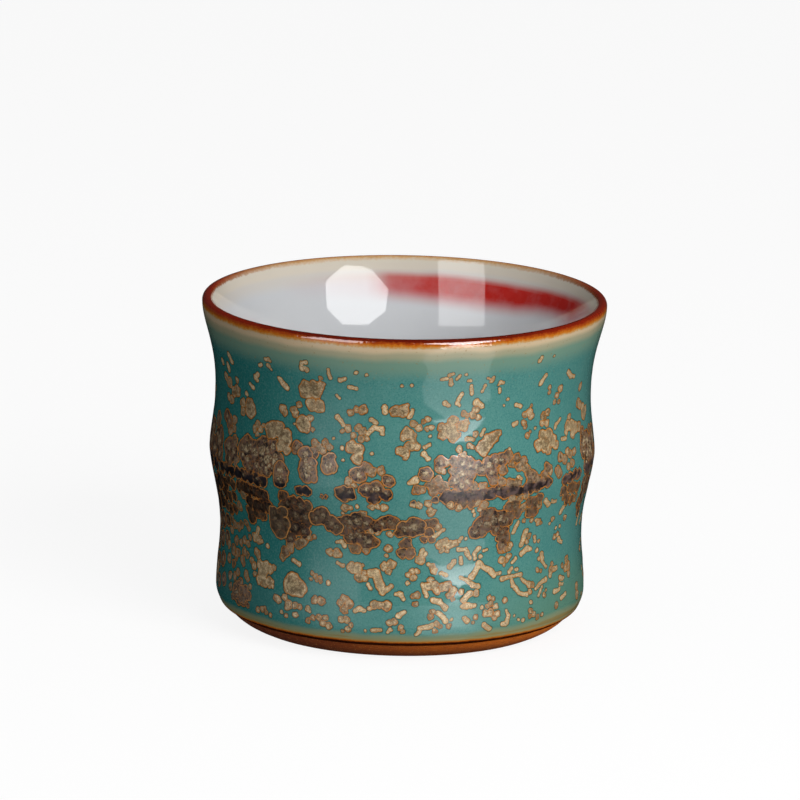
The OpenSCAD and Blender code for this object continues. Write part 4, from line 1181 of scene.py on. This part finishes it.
gloss = glaze.math("ADD", glaze.math("MULTIPLY", dull, 0.26),
                   glaze.rise(glaze.noise(0.5, 3.0), 0.2, 0.8, 0.04))
gloss = glaze.math("ADD", gloss, glaze.math("MULTIPLY", glaze.band(glaze.height, 6.6, 11.4, 0.8), 0.25))
glaze.bump(glaze.math("ADD", glaze.math("MULTIPLY", glaze.noise(0.5, 1.0), 0.25),
                      glaze.math("MULTIPLY", dull, mottle)), 0.014)
glaze.set(Base_Color=colour, Roughness=glaze.math("ADD", gloss, 0.05), IOR=1.55)
dress(outer_coat, glaze.material, "turquoise_glaze", "outer_glaze")

# %% [markdown]
# ## Amber lip
# The lip is dipped in an iron glaze. It is dark red over the crest, and it gathers to orange and gold lower
# down on the outside. At the back it is painted pale and golden, as painted light where the inner side of the
# lip faces the light. The colours have to follow the roll and not the height, so each point keeps its way
# over the lip in millimetres, from the inner edge over the crest at 0 to the outer edge. The points are kept
# inside the box of the solids.

# %% Turn the lip
ROLL_END = 180 - math.degrees(LIP_LEAN)
lip_face = (outer_line(RIM_LINE_Z, LIP_MID_Z, steps=6)
            + arc_line(LIP_MID_R, LIP_MID_Z, LIP_R, 0, ROLL_END, steps=26)[1:]
            + inner_line(RIM_LINE_Z, LIP_IN_Z, steps=8)[::-1][1:])
lip_back = (outer_line(RIM_LINE_Z, LIP_MID_Z, steps=3, inset=COAT_T)
            + arc_line(LIP_MID_R, LIP_MID_Z, LIP_R - COAT_T, 0, ROLL_END, steps=12)[1:]
            + inner_line(RIM_LINE_Z, LIP_IN_Z, steps=4, inset=COAT_T)[::-1][1:])
lip_coat = turned("rim_glaze_roll", lip_face + lip_back[::-1], columns=540)
lip_points = points_of(lip_coat)
across = np.hypot(lip_points[:, 0], lip_points[:, 1]) - LIP_MID_R
above = lip_points[:, 2] - LIP_MID_Z
roll = np.where(above > 0, np.arctan2(above, across), np.where(across > 0, 0.0, math.pi))
roll = np.minimum(roll, math.radians(ROLL_END))
below_roll = np.where(across > 0, np.maximum(-above, 0),
                      -np.maximum(LIP_IN_Z - lip_points[:, 2], 0) / math.cos(LIP_LEAN))
below_roll = np.where((across < 0) & (roll < math.radians(ROLL_END) - 0.01), 0, below_roll)
lip_way = LIP_R * (math.pi / 2 - roll) + below_roll
write_reading(lip_coat, "lip_way", lip_way)
box_low, box_high = np.array([list(corner) for corner in cad_box]) / MM
move_points(lip_coat, np.clip(lip_points, box_low, box_high))
print("way over the lip:", round(float(lip_way.min()), 2), "to", round(float(lip_way.max()), 2), "mm")

# %% [markdown]
# The amber wanders along the way, because the glaze ran while it was hot. It is glassier than the liner, so
# its refraction rises from the inner edge to the crest.

# %% Mix the amber
amber = Finish("amber_glaze")
way = amber.math("ADD", amber.reading("lip_way"),
                 amber.math("ADD", amber.jitter(0.35, 0.24, 3.0), amber.jitter(1.8, 0.34)))
# The back of the lip is painted paler and golden: painted light where its inner side faces the light.
lit_at_back = amber.rise(amber.back, 4.0, 37.0)
at_sides = amber.rise(amber.math("ABSOLUTE", amber.side), 16.0, 37.0)
dark_red = amber.mix(at_sides, tint(108, 22, 3), tint(146, 32, 1))
gold = amber.mix(lit_at_back, tint(150, 72, 26), tint(214, 190, 158))
orange = amber.mix(lit_at_back, dark_red, tint(212, 164, 112))
crest = amber.mix(lit_at_back, dark_red, tint(198, 134, 80))
colour = amber.along(way, [(-1.45, tint(214, 205, 190)), (-0.95, gold), (-0.55, orange), (0.0, crest),
                           (0.3, dark_red), (0.75, dark_red), (1.15, tint(162, 66, 12)),
                           (1.6, tint(196, 112, 30)), (1.9, tint(196, 146, 82)), (2.2, tint(199, 177, 145))])
scorch = amber.math("MULTIPLY", amber.rise(amber.noise(2.6, 3.0), 0.5, 0.8, 0.4),
                    amber.band(way, -0.3, 1.5, 0.2))
colour = amber.mix(scorch, colour, tint(104, 34, 8))
amber.bump(amber.math("MULTIPLY", amber.noise(1.3, 2.0), amber.rise(way, -1.2, -0.3)), 0.045)
amber.set(Base_Color=colour, Roughness=amber.rise(amber.noise(0.8, 2.0), 0.0, 1.0, 0.10),
          IOR=amber.math("ADD", amber.rise(way, -1.2, -0.3, 0.38), 1.52))
dress(lip_coat, amber.material, "amber_glaze", "rim_glaze")

# %% [markdown]
# ## White liner with its red band
# The inside is one smooth white coat, a little cream under the lip. A brush of copper red was laid into it,
# and it bled into the white while it melted, so it has no hard edge. A separate strip would show its
# border, so the band is a reading on the coat's points: 1 where the copper is strong, 0 where there is
# none.

# %% Turn the liner
liner_face = (arc_line(BASE_R - FLOOR_FILLET_R, FILLET_TOP_Z, FLOOR_FILLET_R, -90, 0, steps=18)
              + inner_line(FILLET_TOP_Z, RIM_LINE_Z, steps=84)[1:])
liner_back = (arc_line(BASE_R - FLOOR_FILLET_R, FILLET_TOP_Z, FLOOR_FILLET_R + COAT_T, -90, 0, steps=10)
              + inner_line(FILLET_TOP_Z, RIM_LINE_Z, steps=24, inset=COAT_T)[1:])
floor_face = [(r, FLOOR_Z) for r in np.linspace(0, BASE_R - FLOOR_FILLET_R, 9)[:-1]]
liner_line = floor_face + liner_face + liner_back[::-1] + [(0, FLOOR_Z - COAT_T)]
liner = turned("liner_glaze_coat", liner_line, columns=420, closed=False)

liner_points = points_of(liner)
print("liner points:", len(liner_points))

# %% [markdown]
# The band is strong at the right of the mouth and fades away behind it, so it is written as a few rows of
# (degrees from the right, its top and its foot in millimetres below the lip, strength of the copper). Both
# edges are soft, and the foot is softer, because the copper ran down.

# %% Lay the red band
RED_BAND = [
    (2, 2.3, 3.0, 0.0), (9, 2.3, 4.0, 0.5), (14, 2.5, 5.2, 0.8), (20, 2.65, 6.4, 0.95), (26, 2.9, 6.6, 1.0),
    (33, 3.05, 6.7, 1.0), (40, 3.2, 7.0, 1.0), (50, 3.5, 7.8, 1.0), (63, 3.4, 8.0, 1.0), (79, 3.1, 7.6, 0.97),
    (86, 3.2, 7.3, 0.9), (95, 3.0, 6.9, 0.76), (99, 3.0, 6.9, 0.36), (103, 3.1, 6.8, 0.16),
    (110, 3.1, 6.6, 0.12), (117, 3.2, 6.2, 0.09), (126, 3.4, 5.8, 0.06), (134, 3.5, 5.6, 0.0),
]
SOFT_TOP, SOFT_FOOT = 1.6, 3.6


def soft_edge(share):
    """Goes from 0 to 1 about zero, without a corner at either end."""
    share = np.clip(share + 0.5, 0, 1)
    return share * share * (3 - 2 * share)


direction = np.degrees(np.arctan2(liner_points[:, 1], liner_points[:, 0]))
drop = CUP_H - liner_points[:, 2]
band_direction, band_top, band_foot, band_copper = zip(*RED_BAND)
top = np.interp(direction, band_direction, band_top)
foot = np.interp(direction, band_direction, band_foot)
copper = np.interp(direction, band_direction, band_copper, left=0, right=0)
red = copper * soft_edge((drop - top) / SOFT_TOP) * soft_edge((foot - drop) / SOFT_FOOT)
write_reading(liner, "copper_red", red)
print("red points:", int((red > 0.05).sum()))

# %% [markdown]
# The white is painted a little greyer at the left, where the inner wall faces the light, and paler at the
# right, where it faces away: painted shade and light that even out the wall. It is cream under the lip. Noise
# thins and thickens the copper, as a brush leaves it.

# %% Mix the white glaze
white = Finish("white_glaze")
# Greyer at the left and paler at the right: painted shade and light on the inner wall.
colour = white.mix(white.rise(white.side, -22.0, 26.0), tint(202, 204, 206), tint(224, 226, 229))
colour = white.mix(white.rise(white.noise(0.05, 3.0), 0.2, 0.8, 0.3), colour, tint(198, 201, 206))
top_level = white.math("ADD", white.height, white.jitter(0.1, 0.4))
colour = white.along(top_level, [(56.0, colour), (58.6, tint(207, 202, 195)), (59.6, tint(214, 205, 190))])
copper_red = white.math("MULTIPLY", white.reading("copper_red"),
                        white.math("ADD", white.jitter(0.4, 0.12, 3.0), 1.0))
blush = white.mix(white.noise(0.5, 3.0), tint(184, 28, 22), tint(198, 52, 46))
colour = white.mix(copper_red, colour, blush)
white.bump(white.noise(0.12, 1.0), 0.006)
white.set(Base_Color=colour, Roughness=white.rise(white.noise(0.3, 2.0), 0.0, 1.0, 0.08), IOR=1.52)
dress(liner, white.material, "white_glaze", "liner_glaze", "red_band")

# %% [markdown]
# ## Amber bead at the foot
# Where the outer coat stops, it thickened into a thin bead that turned amber. Its lower edge over the groove
# is painted dark, as painted shade. The bead is a turned roll with a slightly wandering face.

# %% Turn the bead
FOOT_LINE_BOW, BEAD_WANDER, BEAD_STEPS = 0.12, 0.05, 16
bead_face = []
for step, angle in enumerate(np.linspace(GLAZE_END_ANGLE, FOOT_LINE_ANGLE, BEAD_STEPS + 1)):
    radius = HEEL_R + FOOT_LINE_BOW * math.sin(math.pi * step / BEAD_STEPS)
    bead_face.append((HEEL_MID_R + radius * math.cos(math.radians(angle)),
                      HIP_Z - radius * math.sin(math.radians(angle))))
bead_back = arc_line(HEEL_MID_R, HIP_Z, CLAY_HEEL_R, -GLAZE_END_ANGLE, -FOOT_LINE_ANGLE, steps=6)
bead = turned("foot_line_bead", bead_face + bead_back[::-1], columns=480)
bead_points = points_of(bead)
around = np.arctan2(bead_points[:, 1], bead_points[:, 0])
thin = BEAD_WANDER * (0.5 + 0.5 * np.sin(7 * around + 1.3) * np.sin(3 * around))
bead_radii = np.hypot(bead_points[:, 0], bead_points[:, 1])
bead_low, bead_high = bead_points[:, 2].min(), bead_points[:, 2].max()
middle_height, half_height = (bead_low + bead_high) / 2, (bead_high - bead_low) / 2
belly = np.clip(1 - np.abs(bead_points[:, 2] - middle_height) / half_height, 0, 1)
bead_points[:, :2] *= (1 - thin * belly / bead_radii)[:, None]
move_points(bead, bead_points)
print("bead from", round(float(bead_low), 2), "to", round(float(bead_high), 2), "mm high")

# %% [markdown]
# From below, the bead goes from nearly black, painted shade over the groove, over amber to the sage of the
# coat above it. The heights wander a little, as a run of glaze does.

# %% Mix the foot line
line = Finish("amber_foot_line")
bead_level = line.math("ADD", line.height,
                       line.math("ADD", line.jitter(0.3, 0.16, 3.0), line.jitter(1.6, 0.1)))
# The nearly black first stop is painted shade over the groove.
colour = line.along(bead_level, [(3.66, tint(60, 20, 4)), (3.84, tint(150, 68, 12)),
                                 (4.0, tint(182, 108, 34)), (4.2, tint(154, 126, 72)),
                                 (4.45, tint(134, 136, 100))])
line.bump(line.noise(1.0, 2.0), 0.02)
line.set(Base_Color=colour, Roughness=line.rise(line.noise(0.8, 2.0), 0.0, 1.0, 0.3), IOR=1.5)
dress(bead, line.material, "amber_glaze", "foot_line_glaze")

# %% [markdown]
# ## Bare clay foot
# The foot was turned from sandy red-brown clay with a metal tool, and it shows fine turning lines and
# grains. Both are made in the mesh: the rings are pressed in a few hundredths of a millimetre, and each
# point is pushed in by its own grain. Nothing stands out past the solid, because the cup rests on this
# ring.

# %% Turn the foot ring
FOOT_R, FOOT_BORE_R, FOOT_BOW, FOOT_BEVEL, FOOT_STEP = 28.1, 24.0, 0.35, 0.5, 0.2
FLANK_STEPS = 32
LEDGE_R = HEEL_MID_R + CLAY_HEEL_R * math.cos(math.radians(LEDGE_ANGLE))
FOOT_TOP_R = LEDGE_R - FOOT_STEP
run = Vector((FOOT_TOP_R - FOOT_R, FOOT_H))
out = Vector((run.y, -run.x)).normalized()
flank = []
for step in range(FLANK_STEPS + 1):
    t = step / FLANK_STEPS
    spot = Vector((FOOT_R, 0)) + run * t + out * FOOT_BOW * math.sin(math.pi * t)
    flank.append((spot.x, spot.y))
rest_face = [(r, 0.0) for r in np.linspace(FOOT_BORE_R + FOOT_BEVEL, FOOT_R, 13)[:-1]]
top_face = [(r, FOOT_H) for r in np.linspace(FOOT_TOP_R, FOOT_BORE_R, 9)[1:]]
bore_face = [(FOOT_BORE_R, z) for z in np.linspace(FOOT_H, FOOT_BEVEL, 9)[1:]]
foot_ring = turned("foot_ring_turned", rest_face + flank + top_face + bore_face, columns=640)
foot_points = points_of(foot_ring)
print("foot ring points:", len(foot_points))

# %% [markdown]
# The turning lines are a wave up the flank, and the sand is a seeded random number for each point. Both
# ends of the flank stay smooth, so the groove and the resting face keep their edges.

# %% Press in the turning lines and the sand
SAND_SEED, SAND_DEPTH = 7, 0.035
RING_PITCH, RING_DEPTH = 0.62, 0.02
FLANK_DEPTH, SMOOTH_END = 0.4, 0.15
sand = np.random.default_rng(SAND_SEED).random(len(foot_points))
foot_radii = np.hypot(foot_points[:, 0], foot_points[:, 1])
foot_heights = foot_points[:, 2]
on_flank = ((foot_radii > FOOT_R - FLANK_DEPTH) & (foot_heights > SMOOTH_END)
            & (foot_heights < FOOT_H - SMOOTH_END))
rings = 0.5 + 0.5 * np.sin(foot_heights * math.tau / RING_PITCH)
pressed = np.where(on_flank, RING_DEPTH * rings + SAND_DEPTH * sand ** 3, 0)
foot_points[:, :2] *= (1 - pressed / foot_radii)[:, None]
move_points(foot_ring, foot_points)
print("pressed points:", int(on_flank.sum()))

# %% [markdown]
# The foot is painted darker at the left and paler at the right, as painted shade and light, and it is darker
# towards its lower edge. Dark and pale grains of sand are spread over it.

# %% Mix the bare clay
clay = Finish("bare_clay")
lit_clay = clay.mix(clay.noise(0.5, 4.0), tint(180, 84, 6), tint(222, 118, 12))
shaded_clay = clay.mix(clay.noise(0.5, 4.0), tint(92, 32, 2), tint(124, 50, 4))
# A shaded and a lit copy of the clay, mixed from left to right: painted shade and light.
colour = clay.mix(clay.rise(clay.side, -26.0, 34.0), shaded_clay, lit_clay)
colour = clay.mix(clay.rise(clay.height, 3.0, 0.3, 0.75), colour, tint(76, 28, 2))
colour = clay.mix(clay.rise(clay.noise(2.6, 2.0), 0.56, 0.70, 0.6), colour, tint(96, 38, 8))
colour = clay.mix(clay.rise(clay.noise(4.2, 1.0), 0.64, 0.72, 0.6), colour, tint(206, 136, 66))
clay.bump(clay.noise(3.4, 3.0), 0.03)
clay.set(Base_Color=colour, Roughness=clay.rise(clay.noise(1.0, 2.0), -1.5, 1.0, 0.85), IOR=1.3)
dress(foot_ring, clay.material, "stoneware", "foot_ring")

# %% [markdown]
# ## Clay body and base
# The clay wall shows only in the groove over the foot, and the base coat only from below. Their solids
# already have the right shape, so they keep it and get a finish. In the groove the clay is painted darker, as
# painted shade in the recess.

# %% Finish the clay body and the base coat
# The groove's clay is darker than the foot's: painted shade in the recess.
groove_shade = Finish("clay_groove_shade")
colour = groove_shade.mix(groove_shade.noise(0.5, 4.0), tint(66, 26, 8), tint(104, 52, 20))
colour = groove_shade.mix(groove_shade.rise(groove_shade.noise(2.6, 2.0), 0.5, 0.7, 0.7), colour, tint(44, 16, 6))
groove_shade.bump(groove_shade.noise(3.0, 3.0), 0.03)
groove_shade.set(Base_Color=colour, Roughness=groove_shade.rise(groove_shade.noise(1.0, 2.0), -1.5, 1.0, 0.8), IOR=1.45)

base = Finish("base_glaze")
colour = base.mix(base.noise(0.12, 4.0), tint(184, 186, 172), tint(206, 204, 194))
colour = base.mix(base.rise(base.noise(1.5, 2.0), 0.62, 0.74, 0.5), colour, tint(150, 132, 96))
base.bump(base.noise(0.3, 2.0), 0.02)
base.set(Base_Color=colour, Roughness=base.rise(base.noise(0.6, 2.0), 0.0, 1.0, 0.24), IOR=1.5)

for node, finish in (("clay_body", groove_shade), ("base_glaze", base)):
    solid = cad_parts[node].data
    solid.materials.clear()
    solid.materials.append(finish.material)
    print(node, "keeps its solid and takes", finish.material.name)
